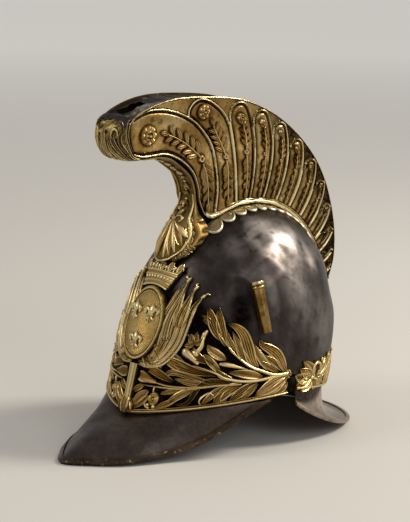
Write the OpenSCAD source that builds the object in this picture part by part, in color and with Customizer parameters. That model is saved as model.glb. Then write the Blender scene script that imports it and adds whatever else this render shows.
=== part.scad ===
// Cavalry helmet: steel skull, visor and neck guard, a tall stamped brass comb, a brass front
// trophy, laurel side bands, an acanthus rear band, a plume socket and a leather lining.
// Millimetres, +Z up, the front faces -Y, the wearer's left is +X, it rests on z = 0.

/* [Skull] */
// Outside length of the skull, front to back
skull_length = 244; // [226:1:262]
// Outside width of the skull
skull_width = 202; // [186:1:218]
// Height of the crown over the datum of the side edges
crown_z = 241; // [228:1:252]
// Sheet thickness of the skull
skull_wall = 1.4; // [1:0.1:2]
// Height of the skull's edge at the middle of the front
edge_front = 46; // [42:1:52]
// Height of the skull's edge over the ears
edge_side = 64.5; // [60:0.5:70]
// Height of the skull's edge at the middle of the back
edge_back = 42.5; // [38:0.5:48]
// Diameter of the fixing hole over each ear for a chinscale boss
boss_hole_d = 6; // [4:0.5:9]

/* [Visor and neck guard] */
// Sheet thickness of the visor
visor_wall = 1.2; // [0.8:0.1:2]
// Sheet thickness of the neck guard
neck_wall = 1.2; // [0.8:0.1:2]
// Reach of the neck guard past the skull's edge
neck_reach = 36; // [25:1:46]
// Height of the riveting flanges inside the skull
flange_h = 9; // [7:0.5:14]
// Depth of the visor's edge binding
binding_depth = 6; // [4:0.5:9]
// Depth of the neck guard's edge binding
neck_binding_depth = 3.5; // [2.5:0.5:6]
// Wall of both edge bindings
binding_wall = 0.8; // [0.6:0.1:1.2]

/* [Comb] */
// Half of the comb's thickness at its foot
comb_foot = 14.5; // [12:0.5:17]
// Half of the comb's thickness at its outer edge
comb_edge = 21.5; // [18:0.5:25]
// Sheet thickness of the comb's side plates
comb_wall = 1; // [0.7:0.1:1.5]
// Height of the godroons over the side plates
godroon_h = 2.2; // [1:0.1:3.5]
// Height of the laurel on them
laurel_h = 1.1; // [0:0.1:2]
// Depth of the top channel below the outer edge
channel_drop = 2.6; // [1.5:0.1:5]

/* [Ornaments] */
// Half width of the oval shield
shield_half_w = 27; // [22:0.5:32]
// Half height of the oval shield
shield_half_h = 35; // [30:0.5:40]
// Height of the shield's centre over the datum
shield_z = 135; // [128:1:142]
// Thickness of the leaf work of the side bands
band_relief = 3.2; // [2:0.1:5]
// Half width of the stem below the shield
stem_half_w = 4.6; // [3:0.2:7]

/* [Plume socket] */
// Bore of the plume socket
plume_bore_d = 6.8; // [5:0.2:8]
// Outside diameter at the socket's mouth
plume_mouth_d = 12.4; // [11:0.2:15]
// Outside diameter at the socket's foot
plume_foot_d = 9; // [8.8:0.2:12]

/* [Fixings and lining] */
// Diameter of the rivet shanks
rivet_d = 2.2; // [1.6:0.1:3]
// Diameter of the rivet heads
rivet_head_d = 4.6; // [4:0.1:6.5]
// Clearance between neighbouring pieces
fit = 0.3; // [0.2:0.05:0.5]
// Thickness of the sweatband leather
leather = 2; // [1.4:0.1:3]
// Height of the sweatband
sweatband_h = 34; // [26:1:42]

/* [Resting attitude] */
// Forward tilt of the skull's datum when it stands on visor and neck guard
rest_pitch = 1.3; // [0:0.05:4]

/* [Hidden] */

// Shift that puts the lowest point on the ground and the box's middle over the origin.
seat_y = 31.935;
seat_z = -4.84;
half_l = skull_length / 2;
half_w = skull_width / 2;
eq_z = 81;
round_n = 2.15;
lean_y = 22;
lean_len = 31;
lean_n = 2.1;
hole_r = rivet_d / 2 + 0.15;

steel = [0.30, 0.27, 0.26];
dark = [0.22, 0.19, 0.18];
silver = [0.62, 0.55, 0.50];
brass = [0.74, 0.59, 0.31];
pale = [0.72, 0.65, 0.50];
hide = [0.30, 0.19, 0.12];

// General helpers.
function clamp(v, lo, hi) = max(lo, min(hi, v));
function mix(a, b, t) = a + (b - a) * t;
function ramp(t) = let (u = clamp(t, 0, 1)) u * u * (3 - 2 * u);
function unit(v) = v / max(norm(v), 0.000001);
function at(list, i) = list[clamp(i, 0, len(list) - 1)];
function line(list, u) = let (i = min(floor(u), len(list) - 2)) mix(list[i], list[i + 1], u - i);
function curve(list, u) =
  let (i = clamp(floor(u), 0, len(list) - 2), t = u - i)
  let (a = at(list, i - 1), b = list[i], c = list[i + 1], d = at(list, i + 2))
  0.5 * (2 * b + (c - a) * t + (2 * a - 5 * b + 4 * c - d) * t * t + (3 * b - a - 3 * c + d) * t * t * t);

// The skull is a rounded superellipse whose sections drift backwards as they rise.
function grow(z, d) =
  pow(max(0, 1 - pow(clamp((z - eq_z) / (crown_z + d - eq_z), 0, 1), round_n)), 1 / round_n);
function drift(z) = lean_y - lean_len * pow(max(0, crown_z - z) / 200, lean_n);
function skull_pt(a, z, d) =
  [(half_w + d) * grow(z, d) * sin(a), drift(z) - (half_l + d) * grow(z, d) * cos(a), z];
function front_pt(x, z, d) =
  let (s = x / ((half_w + d) * grow(z, d)))
  [x, drift(z) - (half_l + d) * grow(z, d) * sqrt(max(0, 1 - s * s)), z];
function crown_pt(x, q, d) =
  let (g = min(1, norm([x / (half_w + d), q])))
  let (z = eq_z + (crown_z + d - eq_z) * pow(max(0, 1 - pow(g, round_n)), 1 / round_n))
  [x, drift(z) + (half_l + d) * q, z];
function edge_z(a) =
  cos(a) > 0 ? edge_front + (edge_side - edge_front) * sqrt(sin(a) * sin(a) + 0.01)
             : edge_side - (edge_side - edge_back) * pow(-cos(a), 1.15);
function skull_n(a, z) =
  unit(cross(skull_pt(a + 1, z, 0) - skull_pt(a - 1, z, 0), skull_pt(a, z + 1, 0) - skull_pt(a, z - 1, 0)));
function crown_n(x, q) =
  unit(cross(crown_pt(x, q + 0.01, 0) - crown_pt(x, q - 0.01, 0),
             crown_pt(x - 1, q, 0) - crown_pt(x + 1, q, 0)));

// A grid of points is a list of rows; columns times rows points out of the piece.
function grid_n(g, i, j) =
  let (r = len(g) - 1, c = len(g[0]) - 1)
  unit(cross(g[i][min(j + 1, c)] - g[i][max(j - 1, 0)], g[min(i + 1, r)][j] - g[max(i - 1, 0)][j]));
function inset(g, t) =
  [for (i = [0:len(g) - 1]) [for (j = [0:len(g[0]) - 1]) g[i][j] - t * grid_n(g, i, j)]];
function flat(g) = [for (row = g) each row];
function quad(a, b, c, d) = [[a, b, c], [a, c, d]];

// An open sheet with a front and a back grid and four closed borders.
module sheet(front, back) {
  r = len(front);
  c = len(front[0]);
  n = r * c;
  polyhedron(
    points = concat(flat(front), flat(back)),
    faces = concat(
      [for (i = [0:r - 2], j = [0:c - 2])
        each quad(i * c + j, (i + 1) * c + j, (i + 1) * c + j + 1, i * c + j + 1)],
      [for (i = [0:r - 2], j = [0:c - 2])
        each quad(n + i * c + j, n + i * c + j + 1, n + (i + 1) * c + j + 1, n + (i + 1) * c + j)],
      [for (j = [0:c - 2]) each quad(j, j + 1, n + j + 1, n + j)],
      [for (j = [0:c - 2])
        each quad((r - 1) * c + j + 1, (r - 1) * c + j, n + (r - 1) * c + j, n + (r - 1) * c + j + 1)],
      [for (i = [0:r - 2]) each quad((i + 1) * c, i * c, n + i * c, n + (i + 1) * c)],
      [for (i = [0:r - 2])
        each quad(i * c + c - 1, (i + 1) * c + c - 1, n + (i + 1) * c + c - 1, n + i * c + c - 1)]),
    convexity = 6);
}

// A sheet closed round its columns; capped closes the last row, else it gets a border.
module shell(front, back, capped) {
  r = len(front);
  c = len(front[0]);
  n = r * c;
  last = (r - 1) * c;
  polyhedron(
    points = concat(flat(front), flat(back)),
    faces = concat(
      [for (i = [0:r - 2], j = [0:c - 1]) let (k = (j + 1) % c)
        each quad(i * c + j, (i + 1) * c + j, (i + 1) * c + k, i * c + k)],
      [for (i = [0:r - 2], j = [0:c - 1]) let (k = (j + 1) % c)
        each quad(n + i * c + j, n + i * c + k, n + (i + 1) * c + k, n + (i + 1) * c + j)],
      [for (j = [0:c - 1]) let (k = (j + 1) % c) each quad(j, k, n + k, n + j)],
      capped ? [for (j = [1:c - 2]) [last, last + j + 1, last + j]] : [],
      capped ? [for (j = [1:c - 2]) [n + last, n + last + j, n + last + j + 1]] : [],
      capped ? [] : [for (j = [0:c - 1]) let (k = (j + 1) % c)
        each quad(last + k, last + j, n + last + j, n + last + k)]),
    convexity = 6);
}

// A section (rows) swept along stations (columns), closed round its rows.
module loft(g, caps) {
  r = len(g);
  c = len(g[0]);
  polyhedron(
    points = flat(g),
    faces = concat(
      [for (i = [0:r - 1], j = [0:c - 2]) let (k = (i + 1) % r)
        each quad(i * c + j, k * c + j, k * c + j + 1, i * c + j + 1)],
      [for (t = caps) [t[2] * c, t[1] * c, t[0] * c]],
      [for (t = caps) [t[0] * c + c - 1, t[1] * c + c - 1, t[2] * c + c - 1]]),
    convexity = 6);
}

function fan(n) = [for (k = [1:n - 2]) [0, k, k + 1]];
u_caps = [[0, 1, 4], [0, 4, 5], [1, 2, 3], [1, 3, 4], [5, 6, 7], [5, 7, 0]];
function u_section(depth, wall, gap) =
  let (m = wall / 2 + gap, o = wall / 2 + gap + binding_wall)
  [[-gap - binding_wall, -o], [-gap - binding_wall, o], [depth, o], [depth, m], [-gap, m], [-gap, -m],
   [depth, -m], [depth, -o]];

module seat() {
  translate([0, seat_y, seat_z]) rotate([rest_pitch, 0, 0]) children();
}

module on_skull(a, z) {
  n = skull_n(a, z);
  translate(skull_pt(a, z, 0)) rotate([0, acos(n[2]), atan2(n[1], n[0])]) children();
}

module on_crown(x, q) {
  n = crown_n(x, q);
  translate(crown_pt(x, q, 0)) rotate([0, acos(n[2]), atan2(n[1], n[0])]) children();
}

// A rivet with its head at height top and its closed tail at height bottom.
module rivet(bottom, top) {
  union() {
    translate([0, 0, top]) cylinder(r1 = rivet_head_d / 2, r2 = rivet_head_d / 3, h = 1.1);
    stud(bottom, top + 0.5);
  }
}

// A plain shank up to height top with its closed tail inside the skull.
module stud(bottom, top) {
  union() {
    translate([0, 0, bottom]) cylinder(d = rivet_d, h = top - bottom);
    translate([0, 0, bottom - 0.8]) cylinder(d = rivet_d * 1.7, h = 0.8);
  }
}

module bore() {
  translate([0, 0, -9]) cylinder(r = hole_r, h = 18);
}

// Fixing places: [angle, height] on the skull, or [side, place along the crown].
visor_fix = [for (a = [-66, -33, 33, 66]) [a, edge_z(a) + flange_h - 3]];
neck_fix = [for (a = [118, 149, 211, 242]) [a, edge_z(a) + flange_h - 3]];
band_fix = [for (a = [24, 80]) [a, 74 + a / 16]];
rear_fix = [for (a = [135, 225]) [a, 78]];
trophy_fix = [[30, 128], [27, 106]];
lappet_fix = [for (q = [-0.24, 0.1, 0.42]) [20, q]];
plume_fix = [[65.2, 172], [69.6, 138]];
boss_fix = [91.2, 81];

// Skull.
dome_rows = [0, 9, 18, 27, 36, 45, 54, 62, 70, 77, 83, 87];
dome_cols = 52;
function dome(d) = concat(
  [for (t = [0, 0.5]) [for (j = [0:dome_cols - 1]) let (a = j * 360 / dome_cols)
    skull_pt(a, mix(edge_z(a), eq_z, t), d)]],
  [for (p = dome_rows) [for (j = [0:dome_cols - 1])
    skull_pt(j * 360 / dome_cols, eq_z + (crown_z + d - eq_z) * pow(sin(p), 2 / round_n), d)]]);

module skull() {
  color(steel) seat() difference() {
    shell(dome(0), dome(-skull_wall), true);
    for (p = concat(visor_fix, neck_fix, rear_fix, plume_fix)) on_skull(p[0], p[1]) bore();
    for (p = concat(band_fix, trophy_fix), s = [-1, 1]) on_skull(s * p[0], p[1]) bore();
    for (p = lappet_fix, s = [-1, 1]) on_crown(s * p[0], p[1]) bore();
    for (s = [-1, 1])
      on_skull(s * boss_fix[0], boss_fix[1]) translate([0, 0, -9]) cylinder(d = boss_hole_d, h = 18);
  }
}

// Visor: its reach from root to rim every 10 degrees, from the middle to the temple, as
// [sideways, forward, up].
rim_reach = [[0, -81.6, -32.2], [7.4, -65.6, -34.4], [11.3, -47.5, -37], [9.3, -25.4, -37.6],
             [5.8, -10.4, -35.1], [4.2, -4.2, -27.9], [3.1, -2.2, -17.7], [2.1, -1, -8.1], [1.5, -1.9, -0.4]];
under = -skull_wall - fit;
visor_cols = [for (i = [-8:0.5:8]) i];
function visor_root(i) = skull_pt(i * 10, edge_z(i * 10) - 3.4, 0.5);
full_rim = [for (i = [-8:8]) let (r = rim_reach[abs(i)]) visor_root(i) + [sign(i) * r[0], r[1], r[2]]];
function visor_reach(i) = norm(curve(full_rim, i + 8) - visor_root(i));
function visor_pt(i, t) =
  let (r = max(0.3, 1 - (binding_depth + 1) / visor_reach(i)), k = t > 1 ? r : t * r)
  let (swell = t == 2 ? 0 : 3 * sin(180 * k) * cos(i * 10))
  mix(visor_root(i), curve(full_rim, i + 8), t == 2 ? 1 : k) + [0, 0, swell];
visor_grid = concat(
  [for (t = [2, 1, 0.8, 0.5, 0.25, 0.06]) [for (i = visor_cols) visor_pt(i, t)]],
  [for (p = [[-2.2, under + 0.6], [-0.4, under], [flange_h, under]])
    [for (i = visor_cols) skull_pt(i * 10, edge_z(i * 10) + p[0], p[1])]]);

module visor() {
  color(dark) seat() difference() {
    sheet(visor_grid, inset(visor_grid, visor_wall));
    for (p = visor_fix) on_skull(p[0], p[1]) bore();
  }
}

function binding(g, depth, wall) = [for (k = [0:7]) [for (j = [0:len(g[0]) - 1])
  let (v = g[1][j] - g[0][j], t = unit(v), n = grid_n(g, 0, j))
  let (s = u_section(min(depth, 0.9 * norm(v)), wall, fit)[k])
  g[0][j] - n * wall / 2 + t * s[0] + n * s[1]]];

module visor_binding() {
  color(pale) seat() loft(binding(visor_grid, binding_depth, visor_wall), u_caps);
}

// Neck guard.
neck_from = 97;
neck_cols = [for (i = [0:30]) neck_from + i * (360 - 2 * neck_from) / 30];
function neck_pt(a, t) =
  let (s = abs(180 - a) / (180 - neck_from))
  let (root = skull_pt(a, edge_z(a) - 1, under), flare = pow(t, 4.5))
  let (e = (neck_reach * (1 - s * s) + 1.2) * flare, z1 = 4 + 45 * s * s * s)
  [root[0] + e * sin(a), root[1] - e * cos(a), mix(root[2], z1, t)];
neck_grid = concat(
  [for (t = [1, 0.96, 0.88, 0.76, 0.6, 0.3, 0]) [for (a = neck_cols) neck_pt(a, t)]],
  [[for (a = neck_cols) skull_pt(a, edge_z(a) + flange_h, under)]]);

module neck_guard() {
  color(silver) seat() difference() {
    sheet(neck_grid, inset(neck_grid, neck_wall));
    for (p = neck_fix) on_skull(p[0], p[1]) bore();
  }
}

module neck_binding() {
  color(silver) seat() loft(binding(neck_grid, neck_binding_depth, neck_wall), u_caps);
}

// Side bands: the leaf work fans out from the meeting place over the ear.
// Each leaf is a line of [angle, height] from its stem to its point. Angles are as seen at 48 degrees
// on the skull, and seen() allows for the relief in front of it.
low_leaves = [
  [[88.4, 81.5], [87, 76], [85.5, 71], [83, 67.6]], [[85, 81.4], [80, 75.5], [75, 70], [71, 65.8]],
  [[75, 80.6], [68, 76], [62, 69], [58, 62.8]], [[67, 80], [59, 76], [53, 69], [49.5, 61.6]],
  [[59, 79.8], [52, 75], [46.5, 68], [43, 61]], [[51, 79.6], [42, 76.5], [36.5, 69], [33, 60]],
  [[41, 79], [34, 73], [28, 64.5], [22.5, 56]], [[28, 78.4], [21, 71], [15.5, 62], [10, 53.6]],
  [[17, 78], [10, 70], [5, 62], [0.2, 54.6]], [[11, 78], [7, 75], [3.5, 71], [0.6, 67]]];
high_leaves = [
  [[24, 80.6], [16, 80.8], [9, 82.5], [2.5, 83]], [[40, 81], [30, 85.5], [19, 88], [9, 91]],
  [[50, 81.4], [40, 89.5], [30.5, 95], [21.5, 101]], [[55, 81.8], [44, 93], [34, 101.5], [25.5, 110]],
  [[59, 82], [49, 96], [38, 108], [28, 118.5]], [[63, 82.2], [53, 101], [42, 117.5], [31, 132]],
  [[67, 82.5], [56, 108], [46, 132], [38, 154.5]], [[71, 82.8], [61, 107], [52, 131], [44.5, 155]],
  [[75, 83.2], [67, 105], [59.5, 126], [49.5, 140]], [[79.5, 83.5], [73.5, 98], [69, 110], [65.5, 120]],
  [[84, 83.8], [81, 99], [76, 112], [69.5, 122.5]], [[88, 84], [86, 93], [82.5, 101], [78, 108]]];
function seen(a) = a + 1.5 * tan(48 - a);
// Column k: even ones follow a leaf, odd ones the shorter valley between two.
function leaf_pt(list, k, t) =
  let (i = floor(k / 2), odd = k % 2, s = t * (odd ? 2.52 : 3))
  let (p = odd ? (curve(list[i], s) + curve(list[i + 1], s)) / 2 : curve(list[i], s))
  [seen(p[0]), p[1], odd ? 0.8 : band_relief * mix(0.8, 1, ramp(t * 3)) * (t == 1 ? 0.5 : 1)];
function leaf_grid(list, rows, front) = [for (t = [0:1 / rows:1.001])
  [for (k = [0:2 * len(list) - 2]) let (p = leaf_pt(list, k, min(t, 1)))
    skull_pt(p[0], p[1], front ? fit + p[2] : fit)]];

module band() {
  sheet(leaf_grid(low_leaves, 4, true), leaf_grid(low_leaves, 4, false));
  sheet(leaf_grid(high_leaves, 6, true), leaf_grid(high_leaves, 6, false));
}

module band_left() {
  color(brass) seat() band();
}

module band_right() {
  color(brass) seat() mirror([1, 0, 0]) band();
}

moulding_section = [[0, -2.6], [1.4, -2.5], [2.6, -1.2], [3, 0.8], [2, 2.6], [0, 3.2]];

module band_moulding() {
  color(brass) seat()
    loft([for (s = moulding_section) [for (a = [-88.5:4.425:88.6])
      skull_pt(a, edge_z(a) + s[1], fit + s[0])]], fan(6));
}

// Rear acanthus band.
function rear_grid(front) = [for (t = [0, 0.14, 0.4, 0.7, 1]) [for (a = [94:4.3:266.1])
  let (top = 87 + 5 * abs(sin((a - 94) * 180 / 21.5)))
  let (z = mix(edge_z(a) + 1, top, t))
  skull_pt(a, z, front ? fit + (t < 0.1 ? 2.6 : t == 1 ? 1.4 : 2.4 + 0.8 * sin((a - 94) * 16.7)) : fit)]];

module rear_band() {
  color(brass) seat() sheet(rear_grid(true), rear_grid(false));
}

// Front trophy: shield, crown, flags and stem. The crown ends just under the comb's foot.
foot_z = crown_z - 46.5;
shield_rings = [[1, 2.0, 3.4], [1, 2.0, 5.2], [0.95, 3.4, 5.6], [0.89, 2.8, 4.3], [0.62, 3.9, 5.4],
                [0.34, 4.6, 6.1], [0.1, 4.9, 6.4]];
function oval(r, h, d) = front_pt(r * shield_half_w * cos(h), shield_z + r * shield_half_h * sin(h), d);

module shield() {
  color(brass) seat()
    shell([for (s = shield_rings) [for (h = [0:11.25:359]) oval(s[0], h, s[2])]],
          [for (s = shield_rings) [for (h = [0:11.25:359]) oval(s[0] * 0.96, h, s[1])]], true);
}

function crown_grid(front) = [for (t = [0, 0.3, 0.6, 1]) [for (s = [-1:0.1:1.01])
  let (x = s * mix(shield_half_w - 9, shield_half_w, t), top = foot_z - 6.5 + 6 * abs(cos(s * 450)))
  let (base = shield_z + shield_half_h + 0.9 - 3.5 * s * s)
  front_pt(x, mix(base, top, t), front ? (t == 0 ? 4 : 5.4 - t) : 0.6)]];

module crown() {
  color(brass) seat() sheet(crown_grid(true), crown_grid(false));
}

flag_line = [[1, 95], [14, 94.5], [26, 97], [37, 104], [45, 115], [50, 130], [52, 148], [54, 163], [47, 164],
             [45.5, 173], [38.5, 171], [35, 181], [23, 170]];
function flag_grid(front) = [for (t = [0, 0.35, 0.7, 1]) [for (u = [0:0.5:12])
  let (p = line(flag_line, u), v = [p[0] / shield_half_w, (p[1] - shield_z) / shield_half_h])
  let (k = unit(v) * 0.9, inner = [k[0] * shield_half_w, shield_z + k[1] * shield_half_h])
  let (x = mix(p[0], inner[0], t), z = mix(p[1], inner[1], t))
  front_pt(max(x, 0.6), z, front ? (t < 0.6 ? 2.6 + 0.7 * cos(u * 360) : 1.6) : fit)]];

module flags_left() {
  color(brass) seat() sheet(flag_grid(true), flag_grid(false));
}

module flags_right() {
  color(brass) seat() mirror([1, 0, 0]) sheet(flag_grid(true), flag_grid(false));
}

stem_rows = [[45.5, 0.5, 3.8, 6.2], [49, 1, 3.9, 6.6], [54, 1.1, 3.8, 6.4], [58, 0.9, 0.6, 4.6],
             [74, 0.95, 0.6, 4.4], [93, 1.2, 0.6, 4]];
function stem_grid(k) = [for (r = stem_rows) [for (s = [-1:0.5:1])
  front_pt(s * r[1] * (r[0] < 90 ? 0.62 : 0.8) * stem_half_w, r[0], r[k] - (k == 3 ? 0.9 * s * s : 0))]];

module stem() {
  color(brass) seat() sheet(stem_grid(3), stem_grid(2));
}

// Comb. Spokes run from the lower edge to the outer edge; 0 to 10 cover the front volute and
// 10 to 22 the godroons, whose feet stand along the crown at the places in foot_q. Their points
// are [y, height above the crown].
foot_q = [-0.357, -0.135, 0.04, 0.199, 0.352, 0.496, 0.615, 0.709, 0.787, 0.844, 0.884, 0.914, 0.934];
function above(list) = [for (p = list) [p[0], crown_z + p[1]]];
front_low = above([[-134, 68], [-124, 64.7], [-110, 64.4], [-97, 64.8], [-83.5, 61.2], [-69, 53.5],
                   [-55, 41], [-47.8, 25.5], [-44.8, 10], [-36.5, -4.5]]);
outer = above([[-140, 100], [-129, 108], [-113, 114], [-98, 117.5], [-86, 119], [-78, 119.5], [-72, 119.5],
               [-69, 119.5], [-66.5, 119.3], [-64.5, 119.2], [-60, 119.3], [-20, 116], [17.5, 108.8],
               [49, 95], [76.5, 77.5], [102, 54.5], [121.5, 30], [134.5, 4.5], [143.5, -22],
               [148.2, -45.5], [148.5, -65], [146, -82], [139, -98]]);
bulge = [-5, -2, 0, 2, 4, 6, 7, 8, 9, 9, 9, 7, 9, 11, 11, 10, 8, 7, 6, 5, 4, 3, 2];
half_foot = [19.5, 19.5, 19.5, 19.5, 19, 18, 17, 16, 15, 14.5];
foot_d = 2.2;
low = concat(front_low,
  [for (q = foot_q) let (p = crown_pt(comb_foot, q, foot_d)) [p[1], p[2]]]);
function spoke(u, v) =
  let (a = curve(low, u), b = curve(outer, u), c = b - a)
  let (n = [c[1], -c[0]] / norm(c), m = a + 0.58 * c + 2 * curve(bulge, u) * n)
  (1 - v) * (1 - v) * a + 2 * v * (1 - v) * m + v * v * b;
function spoke_len(u) = norm(curve(outer, u) - curve(low, u));
function half_t(u, v) =
  let (f = u < 10 ? mix(comb_foot, line(half_foot, min(u, 9)), ramp((9.6 - u) * 2)) : comb_foot)
  mix(f, mix(comb_edge, comb_foot + 1.5, ramp((u - 15) / 7)), v);
ridge_v = [0.97, 0.93, 0.89, 0.82, 0.77, 0.73, 0.67, 0.69, 0.73, 0.74, 0.72];
function godroon(u, v) =
  let (w = u - floor(u), n = spoke_len(u))
  u < 10
    ? let (r = curve(ridge_v, u)) ramp(min(v, r - v) * n / 6) * ramp(u * 2.2)
    : let (side = min(w, 1 - w) * mix(22, 38 - 1.7 * (u - 10), v))
      ramp(min(side, (0.985 - v) * n - 3 - 9 * (1 - sin(180 * w))) / 5);

// The laurel along the middle of each godroon and round the volute, as one low ridge.
function laurel(u, v) =
  let (r = curve(ridge_v, min(u, 10)))
  u < 10
    ? ramp(1.6 - 5 * abs(v / r - 0.5)) * ramp((u - 1.5) / 2) * ramp((v - 0.04) * 20)
    : ramp((0.2 - abs(u - floor(u) - 0.5)) * 10) * ramp((0.86 - v) * 12) * ramp((v - 0.04) * 20);
function plate_relief(u, v) = godroon_h * godroon(u, v) + laurel_h * laurel(u, v);
comb_cols = concat([for (u = [0:0.5:9.6]) u], [for (u = [10:0.2:22.01]) u]);
comb_rows = [0, 0.05, 0.16, 0.3, 0.44, 0.58, 0.7, 0.8, 0.88, 0.94, 1];
comb_front = [for (v = comb_rows) [for (u = comb_cols) let (p = spoke(u, v))
  [half_t(u, v) + (v == 0 || v == 1 ? 1.2 : plate_relief(u, v)), p[0], p[1]]]];
comb_back = [for (v = comb_rows) [for (u = comb_cols) let (p = spoke(u, v))
  [half_t(u, v) - comb_wall + (v == 0 || v == 1 ? 0 : plate_relief(u, v)), p[0], p[1]]]];

module comb_left() {
  color(brass) seat() sheet(comb_front, comb_back);
}

module comb_right() {
  color(brass) seat() mirror([1, 0, 0]) sheet(comb_front, comb_back);
}

channel_cols = concat([0.6, 1, 1.5, 2, 2.5, 3, 4, 5, 7, 9], [for (u = [10:0.5:22.01]) u]);
function channel_grid(deep) = [for (s = [1, 0.5, 0, -0.5, -1]) [for (u = channel_cols)
  let (v = 1 - (channel_drop + deep + 1.4 * (1 - s * s)) / spoke_len(u), p = spoke(u, v))
  [s * (half_t(u, v) - comb_wall - fit), p[0], p[1]]]];

module comb_channel() {
  color(dark) seat() difference() {
    sheet(channel_grid(0), channel_grid(1));
    translate([-4, 0, crown_z + 89]) linear_extrude(40)
      polygon([[-11, -127], [3, -131], [9, -121], [5, -113], [8, -104], [-3, -101], [-9, -109], [-6, -117]]);
  }
}

// Front terminal: a rounded nose of foliage between the front ends of the side plates.
nose_edge = above([[-125, 63.6], [-134.8, 67.1], [-140, 76], [-142.8, 84.4], [-143, 92.2], [-140.8, 100.2],
                   [-136.8, 103.3]]);
nose_mid = above([[-133, 58.5], [-146, 63.5], [-154, 71.5], [-158, 81.5], [-157, 92], [-151, 101.5],
                  [-141.5, 108]]);
function nose_grid(w, k) = [for (u = [0:0.5:6]) [for (b = [-90:15:90])
  let (p = mix(curve(nose_edge, u), curve(nose_mid, u) + [k, 0], cos(b)))
  [w * sin(b), p[0], p[1]]]];

module comb_terminal() {
  color(brass) seat() sheet(nose_grid(21, 0), nose_grid(19.6, 1.4));
}

// Throat plate: the front underside of the comb, flaring into a palmette foot over the brow.
// Its foot rows hold [half width, gap to the skull and height at the edge, the same at the middle],
// and its upper rows [half width, y and height at the edge, the same at the middle].
foot_rows = [[10, 1.4, -45.5, 1.4, -46.5], [13, 4, -43.5, 14.2, -45.5], [22, 1.2, -40.5, 18.5, -41.5],
             [28, 1.1, -35, 21, -36], [29, 2.2, -28, 25.2, -28.5], [23, 2.7, -19, 32.2, -19],
             [17, 19.2, -9.5, 44.5, -9], [15.2, 67, 0, 79.5, 1]];
upper_rows = [[13, -46.4, 11, -48.6, 10], [13.2, -48.2, 25.5, -47.6, 24], [14.2, -55, 39, -53.5, 37.5],
              [15.4, -69.5, 51, -67, 48], [16.6, -83, 59.3, -81, 56], [17.6, -96, 62.6, -95, 59.5],
              [18, -110, 62.8, -109, 59.8], [18, -123, 62.8, -122.5, 59.8]];
function before(x, h, gap) = front_pt(x, crown_z + h, 0)[1] - gap;
throat = concat(
  [for (r = foot_rows)
    [r[0], before(r[0], r[2], r[1]), crown_z + r[2], before(0, r[4], r[3]), crown_z + r[4]]],
  [for (r = upper_rows) [r[0], r[1], crown_z + r[2], r[3], crown_z + r[4]]]);
throat_across = [-1, -0.8, -0.5, -0.25, 0, 0.25, 0.5, 0.8, 1];
function throat_grid(w, lift) = [for (u = [0:0.5:15]) let (p = curve(throat, u)) [for (s = throat_across)
  let (b = mix(1 - pow(abs(s), 3), sqrt(1 - s * s), ramp((8 - u) / 2)))
  let (back = lift * ramp((13 - u) / 4) * ramp(u), up = lift * (ramp((u - 9) / 4) + 1 - ramp(u)))
  [s * (p[0] - w), mix(p[1], p[3], b) + back, mix(p[2], p[4], b) + up]]];

module comb_throat() {
  color(brass) seat() sheet(throat_grid(0, 0), throat_grid(1, 1.2));
}

// Lappet flanges beside the comb's foot.
function lappet_grid(front) = [for (t = [0, 0.5, 1]) [for (q = [-0.45:0.03:0.871])
  let (lobe = ramp((-0.3 - q) / 0.08), scallop = 24 + 3 * abs(sin(q * 1500)) + 4 * lobe)
  let (x = mix(scallop, comb_foot - 1.5 + 12 * lobe, t))
  crown_pt(x, q, front ? fit + 1.2 : fit)]];

module lappets() {
  difference() {
    sheet(lappet_grid(true), lappet_grid(false));
    for (p = lappet_fix) on_crown(p[0], p[1]) bore();
  }
}

module lappets_left() {
  color(pale) seat() lappets();
}

module lappets_right() {
  color(pale) seat() mirror([1, 0, 0]) lappets();
}

// Plume socket.
plume_top = skull_pt(64, 179.5, 10.4);
plume_foot = skull_pt(70.5, 130, 8.6);
plume_axis = plume_top - plume_foot;
plume_len = norm(plume_axis);

module along_plume() {
  translate(plume_foot)
    rotate([0, acos(plume_axis[2] / plume_len), atan2(plume_axis[1], plume_axis[0])]) children();
}

module plume_tube() {
  color(brass) seat() along_plume() difference() {
    union() {
      cylinder(d1 = plume_foot_d, d2 = plume_mouth_d, h = plume_len);
      translate([0, 0, plume_len - 3.4]) cylinder(d = plume_mouth_d + 1.6, h = 3.4);
      translate([0, 0, plume_len - 7]) cylinder(d = plume_mouth_d + 0.9, h = 1.6);
    }
    translate([0, 0, -1]) cylinder(d = plume_bore_d, h = plume_len + 2);
  }
}

function plume_pt(t, s) =
  let (c = mix(plume_foot, plume_top, t), n = skull_n(mix(70.5, 64, t), mix(130, 179.5, t)))
  let (side = unit(cross(plume_axis, n)), r = mix(plume_foot_d, plume_mouth_d + 0.9, t) / 2 + fit)
  c - n * r + side * s * 4;
plate_front = [for (t = [0, 0.25, 0.5, 0.75, 0.93]) [for (s = [-1, 0, 1]) plume_pt(t, s)]];
plate_back = [for (t = [0, 0.25, 0.5, 0.75, 0.93]) [for (s = [-1, 0, 1])
  skull_pt(mix(70.5, 64, t) + s * 2.35, mix(131, 177, t), fit)]];

module plume_plate() {
  color(brass) seat() sheet(plate_front, plate_back);
}

// Rivets and pins.
module lappet_rivets() {
  color(pale) seat()
    for (p = lappet_fix, s = [-1, 1]) on_crown(s * p[0], p[1]) rivet(-skull_wall - 0.35, fit + 1.4);
}

module visor_rivets() {
  color(steel) seat()
    for (p = visor_fix) on_skull(p[0], p[1]) stud(-skull_wall - fit - visor_wall - 0.25, -0.05);
}

module neck_rivets() {
  color(steel) seat()
    for (p = neck_fix) on_skull(p[0], p[1]) stud(-skull_wall - fit - neck_wall - 0.25, -0.05);
}

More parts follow.
